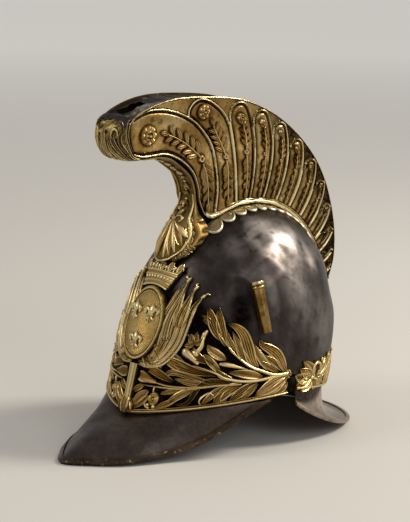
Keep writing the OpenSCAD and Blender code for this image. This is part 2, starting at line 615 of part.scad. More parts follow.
module band_pins() {
  color(brass) seat() {
    for (p = band_fix, s = [-1, 1]) on_skull(s * p[0], p[1]) stud(-skull_wall - 0.35, fit - 0.15);
    for (p = rear_fix) on_skull(p[0], p[1]) stud(-skull_wall - 0.35, fit - 0.15);
  }
}

module trophy_pins() {
  color(brass) seat()
    for (p = trophy_fix, s = [-1, 1]) on_skull(s * p[0], p[1]) stud(-skull_wall - 0.35, fit - 0.15);
}

// Leather lining.
band_in = -skull_wall - fit - visor_wall - 1.6;
lining_cols = [for (j = [0:39]) j * 9];
tongue_h = 50;
liner_z = crown_z - 103;
function sweat_grid(d) = [for (t = [0, 0.33, 0.67, 1]) [for (a = lining_cols)
  skull_pt(a, edge_z(a) + 2 + sweatband_h * t, d)]];
function liner_grid(d) = [for (t = [0, 0.25, 0.5, 0.75, 1]) [for (a = lining_cols)
  let (top = liner_z + tongue_h * pow(abs(cos(4 * a)), 0.7))
  skull_pt(a, mix(edge_z(a) + sweatband_h - 4, top, t), d - 4 * t)]];

module sweatband() {
  color(hide) seat() shell(sweat_grid(band_in), sweat_grid(band_in - leather), false);
}

module liner() {
  color(hide) seat()
    shell(liner_grid(band_in - leather - fit), liner_grid(band_in - leather - fit - 1.5), false);
}

skull();
visor();
visor_binding();
neck_guard();
neck_binding();
band_left();
band_right();
band_moulding();
rear_band();
shield();
crown();
flags_left();
flags_right();
stem();
comb_left();
comb_right();
comb_channel();
comb_terminal();
comb_throat();
lappets_left();
lappets_right();
plume_tube();
plume_plate();
lappet_rivets();
visor_rivets();
neck_rivets();
band_pins();
trophy_pins();
sweatband();
liner();
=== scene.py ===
# %% [markdown]
# # A crested cavalry helmet
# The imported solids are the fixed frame: a steel skull, a visor, a neck guard, a tall stamped brass
# comb and brass ornaments. This script dresses them. Every new piece is a surface worked out with
# numpy on the same shape functions as the solids, so it lands where the solid is.

# %% Load the frame
import math
import time

import bpy
import numpy as np
from mathutils import Matrix, Vector


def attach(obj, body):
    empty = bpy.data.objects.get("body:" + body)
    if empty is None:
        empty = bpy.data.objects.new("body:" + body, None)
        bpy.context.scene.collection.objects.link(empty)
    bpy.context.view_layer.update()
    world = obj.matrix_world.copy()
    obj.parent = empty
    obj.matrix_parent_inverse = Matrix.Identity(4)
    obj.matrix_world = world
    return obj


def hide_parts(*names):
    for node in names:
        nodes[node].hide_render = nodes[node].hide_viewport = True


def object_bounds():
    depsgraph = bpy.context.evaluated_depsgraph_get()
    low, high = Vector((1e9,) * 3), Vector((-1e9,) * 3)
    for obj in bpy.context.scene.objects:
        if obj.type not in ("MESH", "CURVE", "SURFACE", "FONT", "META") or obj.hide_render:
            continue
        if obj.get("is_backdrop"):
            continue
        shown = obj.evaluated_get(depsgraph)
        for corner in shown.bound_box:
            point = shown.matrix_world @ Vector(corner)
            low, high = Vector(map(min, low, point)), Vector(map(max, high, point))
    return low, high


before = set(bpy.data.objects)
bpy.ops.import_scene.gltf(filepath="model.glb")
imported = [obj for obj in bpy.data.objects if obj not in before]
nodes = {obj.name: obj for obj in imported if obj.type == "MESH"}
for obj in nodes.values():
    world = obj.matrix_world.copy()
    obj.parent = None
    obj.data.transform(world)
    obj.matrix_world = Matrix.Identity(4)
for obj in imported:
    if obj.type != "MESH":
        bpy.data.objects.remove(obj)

started = time.time()
cad_low, cad_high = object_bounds()
print("solids:", len(nodes), "box in mm:", [round(v * 1000, 1) for v in (*cad_low, *cad_high)])

# %% [markdown]
# The helmet is drawn level, in millimetres, with the skull's datum at z = 0. The real one rests a
# little nose down on its visor and neck guard. One turn and one shift take the drawing to the floor,
# the same two that the solids use.

# %% Level drawing to resting place
MM = 0.001
REST_PITCH = 1.3
SEAT_Y, SEAT_Z = 31.935, -4.84
tilt = math.radians(REST_PITCH)
TILT = np.array([[1, 0, 0], [0, math.cos(tilt), -math.sin(tilt)], [0, math.sin(tilt), math.cos(tilt)]])


def to_room(points):
    """Level helmet millimetres to metres in the room: turn about X, then shift."""
    return (points @ TILT.T + np.array([0, SEAT_Y, SEAT_Z])) * MM


print("the datum rests at, in mm:", (to_room(np.zeros(3)) / MM).round(2))

# %% [markdown]
# The skull is one raised shell. Its side view is a rounded superellipse whose sections drift back as
# they rise, so the whole dome is a formula. The same formula carries the ornaments that lie on it.
# FIT is the gap between pieces that touch, and MM_PER_DEG is what a degree round the skull counts as
# in flat drawings.

# %% The skull's shape
HALF_L, HALF_W = 122.0, 101.0
CROWN_Z, EQ_Z, ROUND = 241.0, 81.0, 2.15
MM_PER_DEG = 1.95
FIT = 0.3


def grow(z, d):
    """Size of the level section at height z: (1 - t^ROUND)^(1 / ROUND), t from the datum to the crown."""
    t = np.clip((z - EQ_Z) / (CROWN_Z + d - EQ_Z), 0, 1)
    return (1 - t ** ROUND).clip(0) ** (1 / ROUND)


def drift(z):
    """How far back a section's centre lies: 22 mm less 31 mm times (drop / 200 mm) to the power 2.1."""
    return 22 - 31 * ((CROWN_Z - z).clip(0) / 200) ** 2.1


def skull_pt(a, z, d):
    """Point of the skull at angle a from the front, height z, and d outside: an ellipse at each height."""
    a, z, d = np.broadcast_arrays(np.radians(a), np.asarray(z, float), d)
    g = grow(z, d)
    return np.stack([(HALF_W + d) * g * np.sin(a), drift(z) - (HALF_L + d) * g * np.cos(a), z], -1)


def front_pt(x, z, d):
    """The same ellipse solved for y at the side place x, for the ornaments over the brow."""
    x, z, d = np.broadcast_arrays(np.asarray(x, float), np.asarray(z, float), d)
    g = grow(z, d)
    s = (x / ((HALF_W + d) * g).clip(1e-6)).clip(-1, 1)
    return np.stack([x, drift(z) - (HALF_L + d) * g * np.sqrt(1 - s * s), z], -1)


def crown_pt(x, q, d):
    """The same surface solved for z at side place x and share q of the half length, under the comb."""
    x, q, d = np.broadcast_arrays(np.asarray(x, float), np.asarray(q, float), d)
    g = np.hypot(x / (HALF_W + d), q).clip(0, 1)
    z = EQ_Z + (CROWN_Z + d - EQ_Z) * (1 - g ** ROUND) ** (1 / ROUND)
    return np.stack([x, drift(z) + (HALF_L + d) * q, z], -1)


def edge_z(a):
    """Height of the skull's lower edge at angle a: 48 mm at the brow, 64.5 over the ear, 42.5 behind."""
    c, s = np.cos(np.radians(a)), np.sin(np.radians(a))
    return np.where(c > 0, 46 + 18.5 * np.sqrt(s * s + 0.01), 64.5 - 22 * (-c).clip(0) ** 1.15)


print("skull, long by wide in mm:", 2 * HALF_L, "by", 2 * HALF_W)

# %% [markdown]
# Curves are drawn through a few listed points. A smooth curve through them (each stretch a
# cubic that takes its slope from its neighbours) is enough for leaves, rims and spokes. Beads are
# half circles, soft ridges are bell curves, and wear and hammer marks are sums of waves.

# %% Curves
def spline(points, u):
    """Smooth curve through the points, at places u counted in points: a cubic for each stretch."""
    p = np.asarray(points, float)
    u = np.asarray(u, float)
    i = np.clip(np.floor(u).astype(int), 0, len(p) - 2)
    a, b, c, d = (p[np.clip(i + k, 0, len(p) - 1)] for k in (-1, 0, 1, 2))
    t = (u - i).reshape(u.shape + (1,) * (p.ndim - 1))
    return 0.5 * (2 * b + (c - a) * t + (2 * a - 5 * b + 4 * c - d) * t * t
                  + (3 * b - a - 3 * c + d) * t ** 3)


def along(points, count):
    """The curve at count places from end to end."""
    return spline(points, np.linspace(0, len(points) - 1, count))


def mix(a, b, t):
    """a at t = 0, b at t = 1, and a straight line between: a + (b - a) t."""
    return a + (b - a) * t


def ramp(t):
    """0 below 0, 1 above 1, and the smooth step u^2 (3 - 2u) between."""
    u = np.clip(t, 0, 1)
    return u * u * (3 - 2 * u)


print("a curve through 0, 1 and 4, half way along its first stretch:", spline([0, 1, 4], 0.5))

# %% Beads, bells and ripples
def half_round(x, centre, half):
    """Half-round ridge: the root of 1 - ((x - centre) / half)^2, and 0 beside it."""
    return np.sqrt((1 - ((x - centre) / half) ** 2).clip(0))


def bell(x, centre, width):
    """Soft ridge: exp(-((x - centre) / width)^2)."""
    return np.exp(-((x - centre) / width) ** 2)


def ripple(points, size, seed):
    """Smooth lumps about size across: the mean of seven turned sine waves with seeded directions."""
    rng = np.random.default_rng(seed)
    total = np.zeros(points.shape[:-1])
    for _ in range(7):
        way = rng.normal(size=3)
        way /= np.linalg.norm(way)
        total += np.sin(points @ way * (2 * math.pi / (size * rng.uniform(0.6, 1.6))) + rng.uniform(0, 6.28))
    return total / 7


print("a bead's height half way to its edge:", half_round(np.array(0.5), 0, 1).round(3))

# %% [markdown]
# A piece is a list of parts, each with its points, its quads and its triangles, and some with a
# shade-and-wear
# number for each point: 1 where dirt fills a hollow, and also where shade is painted on; below nought where
# handling has brightened a ridge, and also where a highlight or sheen is painted on. A grid of points
# becomes faces with index arithmetic on whole arrays. Faces turn outwards when the columns run across,
# the rows run along, and across turned towards along points out of the metal.

# %% Faces of a grid
def lattice(rows, cols, wrap=False):
    """Quads of a grid, numbered row by row. With wrap the last column joins the first."""
    j = np.arange(cols if wrap else cols - 1)
    i = np.arange(rows - 1)[:, None]
    k = (j + 1) % cols
    quads = np.stack([i * cols + j, i * cols + k, (i + 1) * cols + k, (i + 1) * cols + j], -1)
    return quads.reshape(-1, 4)


def tube(sections):
    """Closed sections (rows) joined one to the next, with a fan of triangles over both ends."""
    rows, cols = sections.shape[:2]
    k = np.arange(1, cols - 1)
    last = (rows - 1) * cols
    caps = np.concatenate([np.stack([0 * k, k + 1, k], 1), np.stack([0 * k, k, k + 1], 1) + last])
    return sections.reshape(-1, 3), lattice(rows, cols, True), caps


print("quads of a wrapped grid, 3 by 4:", len(lattice(3, 4, True)))

# %% [markdown]
# Sheet metal has two faces. slab joins them wherever the front's faces have a free edge, so it also
# closes the walls of holes. The comb's front has many more rows than its hidden back needs, so thin
# joins a fine grid to a coarse one.

# %% Sheets with thickness
def slab(front, back, wrap=False, gone=None, cap=False):
    """A sheet with thickness: front and back grids joined wherever a face of the front has a free edge.

    gone marks cells that are left out, which makes holes. cap closes a wrapped last row with a fan.
    """
    rows, cols = front.shape[:2]
    n = rows * cols
    faces = lattice(rows, cols, wrap)
    if gone is not None:
        faces = faces[~gone.ravel()]
    edges = np.concatenate([faces[:, [k, (k + 1) % 4]] for k in range(4)])
    free = edges[~np.isin(edges[:, 0] * n + edges[:, 1], edges[:, 1] * n + edges[:, 0])]
    fans = np.zeros((0, 3), int)
    if cap:
        last = n - cols
        free = free[(free < last).any(axis=1)]
        k = np.arange(1, cols - 1)
        fan = np.stack([0 * k, k, k + 1], 1) + last
        fans = np.concatenate([fan, fan[:, ::-1] + n])
    quads = np.concatenate([faces, faces[:, ::-1] + n, np.concatenate([free[:, ::-1], free + n], 1)])
    return np.concatenate([front.reshape(-1, 3), back.reshape(-1, 3)]), quads, fans


def thin(front, back, every):
    """A sheet whose hidden back has only each so many-th row. Thin end walls tie the two together."""
    rows, cols = front.shape[:2]
    n, m = rows * cols, len(back)
    j = np.arange(cols - 1)
    top, under = n - cols, n + (m - 1) * cols
    low = np.stack([j + 1, j, n + j, n + j + 1], 1)
    high = np.stack([top + j, top + j + 1, under + j + 1, under + j], 1)
    walls = []
    for column, turn in ((0, 1), (cols - 1, -1)):
        fine = np.arange(rows - 1)
        across = fine // every * cols + column + n
        walls.append(np.stack([fine * cols + column, (fine + 1) * cols + column, across], 1)[:, ::turn])
        coarse = np.arange(m - 1)
        step = coarse * cols + column + n
        walls.append(np.stack([step, (coarse + 1) * every * cols + column, step + cols], 1)[:, ::turn])
    points = np.concatenate([front.reshape(-1, 3), back.reshape(-1, 3)])
    faces = [lattice(rows, cols), lattice(m, cols)[:, ::-1] + n, low, high]
    return points, np.concatenate(faces), np.concatenate(walls)


# %% [markdown]
# One function turns the parts of a piece into a mesh object at the origin. It smooths the faces but
# keeps the folds sharp, lets the piece ride on the body and hides the solid that it stands for.

# %% Parts to an object
def mirrored(part):
    """The same part on the wearer's other side, with its faces turned right way out again."""
    points, quads, tris, *shade_and_wear = part
    return points * np.array([-1, 1, 1]), quads[:, ::-1], tris[:, ::-1], *shade_and_wear


def part_with_shade_and_wear(part, front_shade_and_wear, back_shade_and_wear):
    """A sheet with shade-and-wear numbers: an array for its front, and one number for all of its back."""
    back = np.full(len(part[0]) - front_shade_and_wear.size, back_shade_and_wear)
    return (*part, np.concatenate([front_shade_and_wear.ravel(), back]))


def build(name, parts, material, node=None, crease=50):
    """One mesh object from parts in level millimetres. It rides on the body and may stand for a solid."""
    shift = np.cumsum([0] + [len(p[0]) for p in parts])
    points = to_room(np.concatenate([p[0] for p in parts]))
    quads = np.concatenate([p[1] + s for p, s in zip(parts, shift)])
    tris = np.concatenate([p[2] + s for p, s in zip(parts, shift)])
    used, corners = np.unique(np.concatenate([quads.ravel(), tris.ravel()]), return_inverse=True)
    points = points[used]
    mesh = bpy.data.meshes.new(name)
    mesh.vertices.add(len(points))
    mesh.vertices.foreach_set("co", points.astype(np.float32).ravel())
    starts = np.concatenate([np.arange(len(quads)) * 4, len(quads) * 4 + np.arange(len(tris)) * 3])
    mesh.loops.add(len(corners))
    mesh.loops.foreach_set("vertex_index", corners.astype(np.int32))
    mesh.polygons.add(len(starts))
    mesh.polygons.foreach_set("loop_start", starts.astype(np.int32))
    shade_and_wear = np.concatenate([p[3] if len(p) > 3 else np.zeros(len(p[0])) for p in parts])[used]
    mesh.attributes.new("shade_and_wear", "FLOAT", "POINT").data.foreach_set("value", shade_and_wear.astype(np.float32))
    mesh.update(calc_edges=True)
    mesh.polygons.foreach_set("use_smooth", np.ones(len(starts), bool))
    mesh.set_sharp_from_angle(angle=math.radians(crease))
    mesh.materials.append(material)
    piece = bpy.data.objects.new(name, mesh)
    bpy.context.scene.collection.objects.link(piece)
    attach(piece, "root")
    if node:
        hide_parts(node)
    print(f"{name}: {len(points)} points, {2 * len(quads) + len(tris)} triangles")


def build_pair(name, parts, material, node=None, crease=50):
    """The parts on the wearer's left, and their mirror image on the right."""
    for side, own in (("left", parts), ("right", [mirrored(part) for part in parts])):
        build(f"{name}_{side}", own, material, node and f"{node}_{side}", crease)


# %% [markdown]
# A chart maps two flat millimetre numbers to a carrying surface. Ornament is drawn flat and then
# stands on its chart: the point plus the wanted height along the surface's own normal, which central
# differences give. The same leaf can so lie on the skull, on the comb or on the brow.

# %% Standing ornament on a surface
def unit(v):
    """Vectors of length 1: v over its length."""
    return v / (np.linalg.norm(v, axis=-1, keepdims=True) + 1e-9)


def stand(chart, flat, height):
    """Points of the chart raised by height along its normal."""
    e = 0.4
    p, q = flat[..., 0], flat[..., 1]
    across = chart(p + e, q) - chart(p - e, q)
    up = chart(p, q + e) - chart(p, q - e)
    return chart(p, q) + unit(np.cross(across, up)) * np.asarray(height)[..., None]


def wear_of(share):
    """Wear by share of the rise: 1.1 - 1.7 share, so feet hold dirt and ridges are bright."""
    return (1.1 - 1.7 * np.asarray(share, float)).clip(-0.6, 1)


# %% [markdown]
# A leaf's cross section says most about it: laurel has a rim and a midrib, acanthus is fluted, a lily
# petal is cupped and a stalk is half round. Each section is a few pairs of share of the half width
# and share of the rise.

# %% Cross sections
def profile(pairs):
    """A cross section from [share of the half width, share of the rise] pairs."""
    pairs = np.array(pairs, float)
    return pairs[:, 0], pairs[:, 1]


half_turn = np.linspace(0, math.pi, 7)
WIRE = (-np.cos(half_turn), np.sin(half_turn))
LEAF = profile([(-1, 0), (-0.88, 0.9), (-0.74, 1), (-0.5, 0.5), (-0.14, 0.44), (0, 0.8), (0.14, 0.44),
                (0.5, 0.5), (0.74, 1), (0.88, 0.9), (1, 0)])
FLUTED = profile([(-1, 0), (-0.9, 0.9), (-0.78, 1), (-0.56, 0.46), (-0.34, 0.84), (-0.16, 0.48), (0, 0.9),
                  (0.2, 0.46), (0.4, 0.8), (0.58, 0.46), (0.78, 1), (0.9, 0.9), (1, 0)])
CUPPED = profile([(-1, 0), (-0.84, 1), (-0.45, 0.5), (0, 0.38), (0.45, 0.5), (0.84, 1), (1, 0)])
RIMMED = profile([(-1, 0), (-0.76, 0.95), (-0.4, 0.35), (0, 0.9), (0.4, 0.35), (0.76, 0.95), (1, 0)])
print("points across a laurel leaf:", len(LEAF[0]))

# %% Ribbons and bosses
SUNK = 0.15


def ribbon(chart, path, half, rise, shape=LEAF, steps=14, low=0.2):
    """A leaf or stalk: a cross section carried along a curve. half and rise are numbers or lists along it."""
    c = along(path, steps)
    run = unit(np.gradient(c, axis=0))
    side = np.stack([run[:, 1], -run[:, 0]], 1)
    w = along(np.ones(2) * half if np.ndim(half) == 0 else half, steps).clip(0.06)
    r = along(np.ones(2) * rise if np.ndim(rise) == 0 else rise, steps).clip(0.05)
    u, f = shape
    flat = c[:, None] + side[:, None] * (w[:, None] * u)[..., None]
    height = low + r[:, None] * f
    flat = np.concatenate([flat, flat[:, [-1, 0]]], 1)
    height = np.concatenate([height, np.full((steps, 2), low - SUNK)], 1)
    shade_and_wear = np.broadcast_to(np.concatenate([wear_of(f), [1, 1]]), height.shape)
    return *tube(stand(chart, flat, height)), shade_and_wear.ravel()


def boss(chart, centre, radius, height, around=24, low=0.2):
    """A round raised form: height is a function of share of the radius and angle."""
    r = np.array([1, 0.97, 0.86, 0.72, 0.56, 0.4, 0.24, 0.08])[:, None]
    a = np.linspace(0, 2 * math.pi, around, endpoint=False)[None]
    flat = np.stack([centre[0] + radius * r * np.cos(a), centre[1] + radius * r * np.sin(a)], -1)
    top = low + height(r, a) * np.array([0] + [1] * 7)[:, None]
    shade_and_wear = np.concatenate([np.ones((1, around)), wear_of((top - low) / (0.75 * (top - low).max()))])
    foot = stand(chart, flat[:1], np.full((1, around), low - SUNK))
    return *tube(np.concatenate([foot, stand(chart, flat, top)])), shade_and_wear.ravel()


# %% [markdown]
# ## Metals
# The ornaments are stamped brass with antique gilding: worn bright on the high places and brown with
# old dirt in the hollows. An ambient occlusion node finds the hollows on any mesh, so the dirt lies
# where a brush could not reach. The steel is patinated: a thin brown-black oxide that scuffs back to
# grey. Both are metals, so their colour is the colour of their reflection.

# %% Colours and nodes
def linear(code):
    """sRGB hex to the linear colour that shaders take."""
    channels = [int(code[i:i + 2], 16) / 255 for i in (1, 3, 5)]
    return [c / 12.92 if c <= 0.04045 else ((c + 0.055) / 1.055) ** 2.4 for c in channels] + [1.0]


def add(tree, kind, settings=None, links=None, stops=()):
    """Adds a node, sets its values and sockets, and links sockets from (node, output) pairs.

    stops are the places and hex colours of a colour ramp, in rising order.
    """
    node = tree.nodes.new("ShaderNode" + kind)
    for key, value in (settings or {}).items():
        if isinstance(key, str) and hasattr(node, key) and key not in node.inputs:
            setattr(node, key, value)
        else:
            node.inputs[key].default_value = value
    for key, (source, output) in (links or {}).items():
        tree.links.new(source.outputs[output], node.inputs[key])
    for i, (place, code) in enumerate(stops):
        elements = node.color_ramp.elements
        element = elements[i] if i < len(elements) else elements.new(place)
        element.position = place
        element.color = linear(code)
    return node


def per_metre(size_mm):
    """Noise scale for features about size_mm across: how many of them fill a metre."""
    return 1000.0 / size_mm


BLEND = {"data_type": "RGBA", "blend_type": "MIX"}
MULTIPLY = {"data_type": "RGBA", "blend_type": "MULTIPLY", 0: 1.0}
print("half grey as a linear colour:", round(linear("#808080")[0], 3))

# %% [markdown]
# One function makes all the metals. From the bottom up: a colour ramp read by a broad noise, mottled
# by a fine one; bright ridges and painted highlights, dirt and painted shade from the shade-and-wear
# numbers; dirt from ambient occlusion; specks; roughness that follows the broad noise; and a bump from
# grain, scratches or the engraver's hatching.

# %% Antique metal
# Inputs of a Map Range node: 0 the value, 1 and 2 the span it comes from, 3 and 4 the span it goes to.
# Inputs of a colour Mix node: 0 the amount, 6 and 7 the colours, with the mixed colour at output 2.
BROAD_MM = 34
BRIGHT_SHARE = 0.8


def metal(name, shades, dirt, rough, grain_mm, bump, dirt_reach_mm=3.0, span=(0.25, 0.85), scratches=0.0,
          specks=None, hatch_mm=0, ridge=None):
    """Antique metal. shades are hex colours from dull to bright, dirt is the hollows' colour.

    span gives the openness below which a hollow is all dirt, and above which it is clean. Points with
    a shade-and-wear number add their own dirt and painted shade, and mix in the ridge colour where it is
    below nought: rubbed metal, and on the skull and comb also a painted sheen or highlight. specks gives
    a colour, a size in mm, the noise level they start at and their share.
    """
    material = bpy.data.materials.new(name)
    material.use_nodes = True
    tree = material.node_tree
    shader = tree.nodes["Principled BSDF"]
    shader.inputs["Metallic"].default_value = 1.0
    place = (add(tree, "TexCoord"), "Object")
    broad = add(tree, "TexNoise", {"Scale": per_metre(BROAD_MM), "Detail": 5.0, "Roughness": 0.6},
                {"Vector": place})
    fine = add(tree, "TexNoise", {"Scale": per_metre(grain_mm), "Detail": 6.0, "Roughness": 0.65},
               {"Vector": place})
    stops = [(0.3 + 0.4 * i / (len(shades) - 1), shade) for i, shade in enumerate(shades)]
    colour = add(tree, "ValToRGB", None, {0: (broad, 0)}, stops)
    mottle = add(tree, "MapRange", {1: 0.3, 2: 0.7, 3: 0.72, 4: 1.12}, {0: (fine, 0)})
    colour = add(tree, "Mix", MULTIPLY, {6: (colour, 0), 7: (mottle, 0)})
    # The shade-and-wear attribute: dirt and painted shade above nought, rubbed ridges and painted sheen
    # below.
    surface_marks = add(tree, "Attribute", {"attribute_name": "shade_and_wear"})
    bright = add(tree, "MapRange", {1: 0.0, 2: -0.6, 3: 0.0, 4: BRIGHT_SHARE}, {0: (surface_marks, "Fac")})
    ridge_colour = linear(ridge or shades[-1])
    colour = add(tree, "Mix", {**BLEND, 7: ridge_colour}, {0: (bright, 0), 6: (colour, 2)})
    hollow = add(tree, "AmbientOcclusion", {"samples": 5, "Distance": dirt_reach_mm * MM})
    shut = add(tree, "MapRange", {1: span[0], 2: span[1], 3: 1.0, 4: 0.0}, {0: (hollow, "AO")})
    dirt_and_shade = add(tree, "Math", {"operation": "MAXIMUM"}, {0: (shut, 0), 1: (surface_marks, "Fac")})
    thick = add(tree, "MapRange", {1: 0.3, 2: 0.7, 3: 0.75, 4: 1.2}, {0: (fine, 0)})
    patchy = add(tree, "Math", {"operation": "MULTIPLY", "use_clamp": True}, {0: (dirt_and_shade, 0), 1: (thick, 0)})
    colour = add(tree, "Mix", {**BLEND, 7: linear(dirt)}, {0: (patchy, 0), 6: (colour, 2)})
    if specks:
        speck, speck_mm, start, share = specks
        dots = add(tree, "TexNoise", {"Scale": per_metre(speck_mm), "Detail": 3.0}, {"Vector": place})
        mask = add(tree, "MapRange", {1: start, 2: start + 0.06, 3: 0.0, 4: share}, {0: (dots, 0)})
        colour = add(tree, "Mix", {**BLEND, 7: linear(speck)}, {0: (mask, 0), 6: (colour, 2)})
    height = fine
    if scratches:
        stretch = add(tree, "Mapping", {"Scale": (per_metre(0.5), per_metre(22), per_metre(14)),
                                        "Rotation": (0.4, 0.2, 0.5)}, {"Vector": place})
        lines = add(tree, "TexNoise", {"Scale": 1.0, "Detail": 2.0}, {"Vector": (stretch, 0)})
        height = add(tree, "Math", {"operation": "MULTIPLY_ADD", 1: scratches}, {0: (lines, 0), 2: (fine, 0)})
    if hatch_mm:
        pace = per_metre(hatch_mm) * math.pi / 17
        lines = add(tree, "TexWave", {"bands_direction": "DIAGONAL", "Scale": pace}, {"Vector": place})
        height = add(tree, "Math", {"operation": "MULTIPLY_ADD", 1: 1.6}, {0: (lines, 0), 2: (fine, 0)})
        cut = add(tree, "MapRange", {1: 0.1, 2: 0.6, 3: 0.74, 4: 1.0}, {0: (lines, 1)})
        colour = add(tree, "Mix", MULTIPLY, {6: (colour, 2), 7: (cut, 0)})
    gloss = add(tree, "MapRange", {1: 0.3, 2: 0.7, 3: rough[0], 4: rough[1]}, {0: (broad, 0)})
    dull = add(tree, "Math", {"operation": "MULTIPLY_ADD", 1: 0.25}, {0: (patchy, 0), 2: (gloss, 0)})
    relief = add(tree, "Bump", {"Strength": bump, "Distance": 0.4 * MM}, {"Height": (height, 0)})
    tree.links.new(colour.outputs[2], shader.inputs["Base Color"])
    tree.links.new(dull.outputs[0], shader.inputs["Roughness"])
    tree.links.new(relief.outputs[0], shader.inputs["Normal"])
    return material


# %% [markdown]
# Gilt brass reflects about 0.9 of red and little blue. The photograph's ornaments run from pale
# yellow on the worn ridges to brown, with some purple-grey tarnish. Old gilding is satin rather than
# mirror bright, so its roughness is 0.23 to 0.44, and the crusted nose is duller. The palest gilding
# is on the trophy, and the field of the shield is hatched by the engraver.

# %% Brasses
TARNISH = ("#8A6A5C", 9, 0.66, 0.4)
gilt = metal("antique_gilt_brass", ["#80622E", "#A48245", "#BC9C60", "#D0B47C"], "#160C02", (0.42, 0.28), 2.2,
             0.25, dirt_reach_mm=1.6, span=(0.1, 0.5), specks=TARNISH, ridge="#F0DCA6")
trophy_gilt = metal("trophy_gilt_brass", ["#96763A", "#B89654", "#CEB274", "#DEC892"], "#1A0E04",
                    (0.42, 0.28), 2.2, 0.25, dirt_reach_mm=1.4, span=(0.1, 0.5), specks=TARNISH,
                    ridge="#F6E6B6")
engraved = metal("engraved_gilt_brass", ["#A68648", "#C2A260", "#D2B678"], "#241606", (0.42, 0.32), 2.2, 0.5,
                 specks=TARNISH, hatch_mm=0.85, ridge="#EBD6A0")
crusted = metal("crusted_gilt_brass", ["#5E4B28", "#88703C", "#AE965C", "#C8B280"], "#0E0702", (0.56, 0.4),
                2.0, 0.7, span=(0.3, 0.8), specks=("#5A5048", 5, 0.6, 0.7), ridge="#E0CA92")
# The comb's ridge colour paints its rubbed beads, which also serve as painted highlights.
comb_gilt = metal("comb_gilt_brass", ["#634822", "#8E6D3A", "#B4965C", "#D6BE8A"], "#120800", (0.37, 0.23),
                  3.0, 0.18, dirt_reach_mm=3.5, span=(0.4, 0.8), specks=("#4A3218", 7, 0.6, 0.6),
                  ridge="#F2E2B4")
comb_leaf = metal("comb_laurel_brass", ["#8A6B36", "#B08E50", "#CEB27C"], "#100600", (0.44, 0.33), 2.4, 0.2,
                  dirt_reach_mm=1.2, span=(0.05, 0.4), ridge="#F0DCA8")
pale_brass = metal("worn_pale_brass", ["#9C8A66", "#C0B28E", "#D8CCAA"], "#241A10", (0.5, 0.34), 2.5, 0.25,
                   specks=("#4A3A2A", 6, 0.62, 0.7), ridge="#F0E6C8")
bronze = metal("browned_brass_binding", ["#2E2520", "#463A30", "#645242"], "#120C08", (0.46, 0.32), 3.0, 0.2,
               specks=("#A08C70", 4, 0.62, 0.6))
print("brasses made:", len(bpy.data.materials))

# %% [markdown]
# The skull's steel is nearly black with an oxide that scuffs back to grey. The visor is browner, the
# neck guard is worn bright by hands and storage, and the channel of thin iron is rusted rough.

# %% Steels and iron
# The ridge colour paints both the bare-steel scuffs and the painted sheen; the dirt colour also paints the
# shade behind the ornaments.
skull_steel = metal("patinated_steel", ["#2C2725", "#37312E", "#433D3C", "#524C4A"], "#0C0908", (0.48, 0.36),
                    6.0, 0.12, dirt_reach_mm=2.0, scratches=0.25, specks=("#1C1714", 7, 0.64, 0.5),
                    ridge="#A29A95")
visor_steel = metal("browned_steel", ["#3C3430", "#4E443F", "#60554D"], "#0E0B0A", (0.44, 0.3), 4.0, 0.14,
                    scratches=0.3, specks=("#8A8078", 2.4, 0.75, 0.5))
neck_steel = metal("worn_bright_steel", ["#847464", "#AC9C8C", "#CCBEB0"], "#1C1512", (0.42, 0.28), 4.0, 0.2,
                   scratches=0.35, specks=("#3E3028", 5, 0.6, 0.7))
iron = metal("corroded_iron", ["#262322", "#3B3634", "#564F4B"], "#0C0A0A", (0.6, 0.42), 3.0, 0.6,
             specks=("#837A72", 5, 0.66, 0.6), ridge="#B8ADA4")
print("metals made:", len(bpy.data.materials))

# %% [markdown]
# ## The skull
# The dome is a grid of angles and heights. Blows have dented it: each dent is a smooth pit with its
# own place, size, turn and depth, taken off the surface on the outside and the inside alike, as in
# real sheet. Over each ear the boss of the chinscales has gone and left its hole: points near the
# hole's centre are pushed outwards to its rim, and the faces at the centre are left out.

# %% Dents and old dirt
# Each row: angle, height, size along, size up in mm, turn in degrees, depth in mm, sharpness.
DENTS = [
    (58, 168, 17, 9, -35, 3.4, 2.2), (72, 186, 20, 9, 20, 1.8, 1.6), (60, 214, 30, 13, 12, 2.6, 1.2),
    (83, 203, 26, 9, -38, 1.7, 1.8), (96, 186, 12, 26, 8, 2.6, 1.6), (88, 150, 9, 34, 4, 2.0, 1.3),
    (108, 165, 15, 30, -6, 3.0, 1.4), (122, 200, 24, 12, 30, 2.6, 1.5), (140, 150, 26, 20, 0, 2.4, 1.2),
    (100, 122, 16, 20, 10, 1.8, 1.2), (170, 190, 24, 16, 15, 2.4, 1.3), (205, 160, 20, 26, -20, 2.4, 1.3),
    (240, 196, 26, 14, 25, 2.6, 1.4), (262, 140, 16, 24, 5, 2.0, 1.3), (290, 182, 24, 12, -20, 2.4, 1.4),
    (318, 150, 18, 13, 10, 1.6, 1.2), (35, 205, 20, 8, -10, 1.6, 1.3), (47, 140, 14, 10, 0, 1.2, 1.2),
]
BOSS_HOLE = (91.2, 81.0, 3.0)
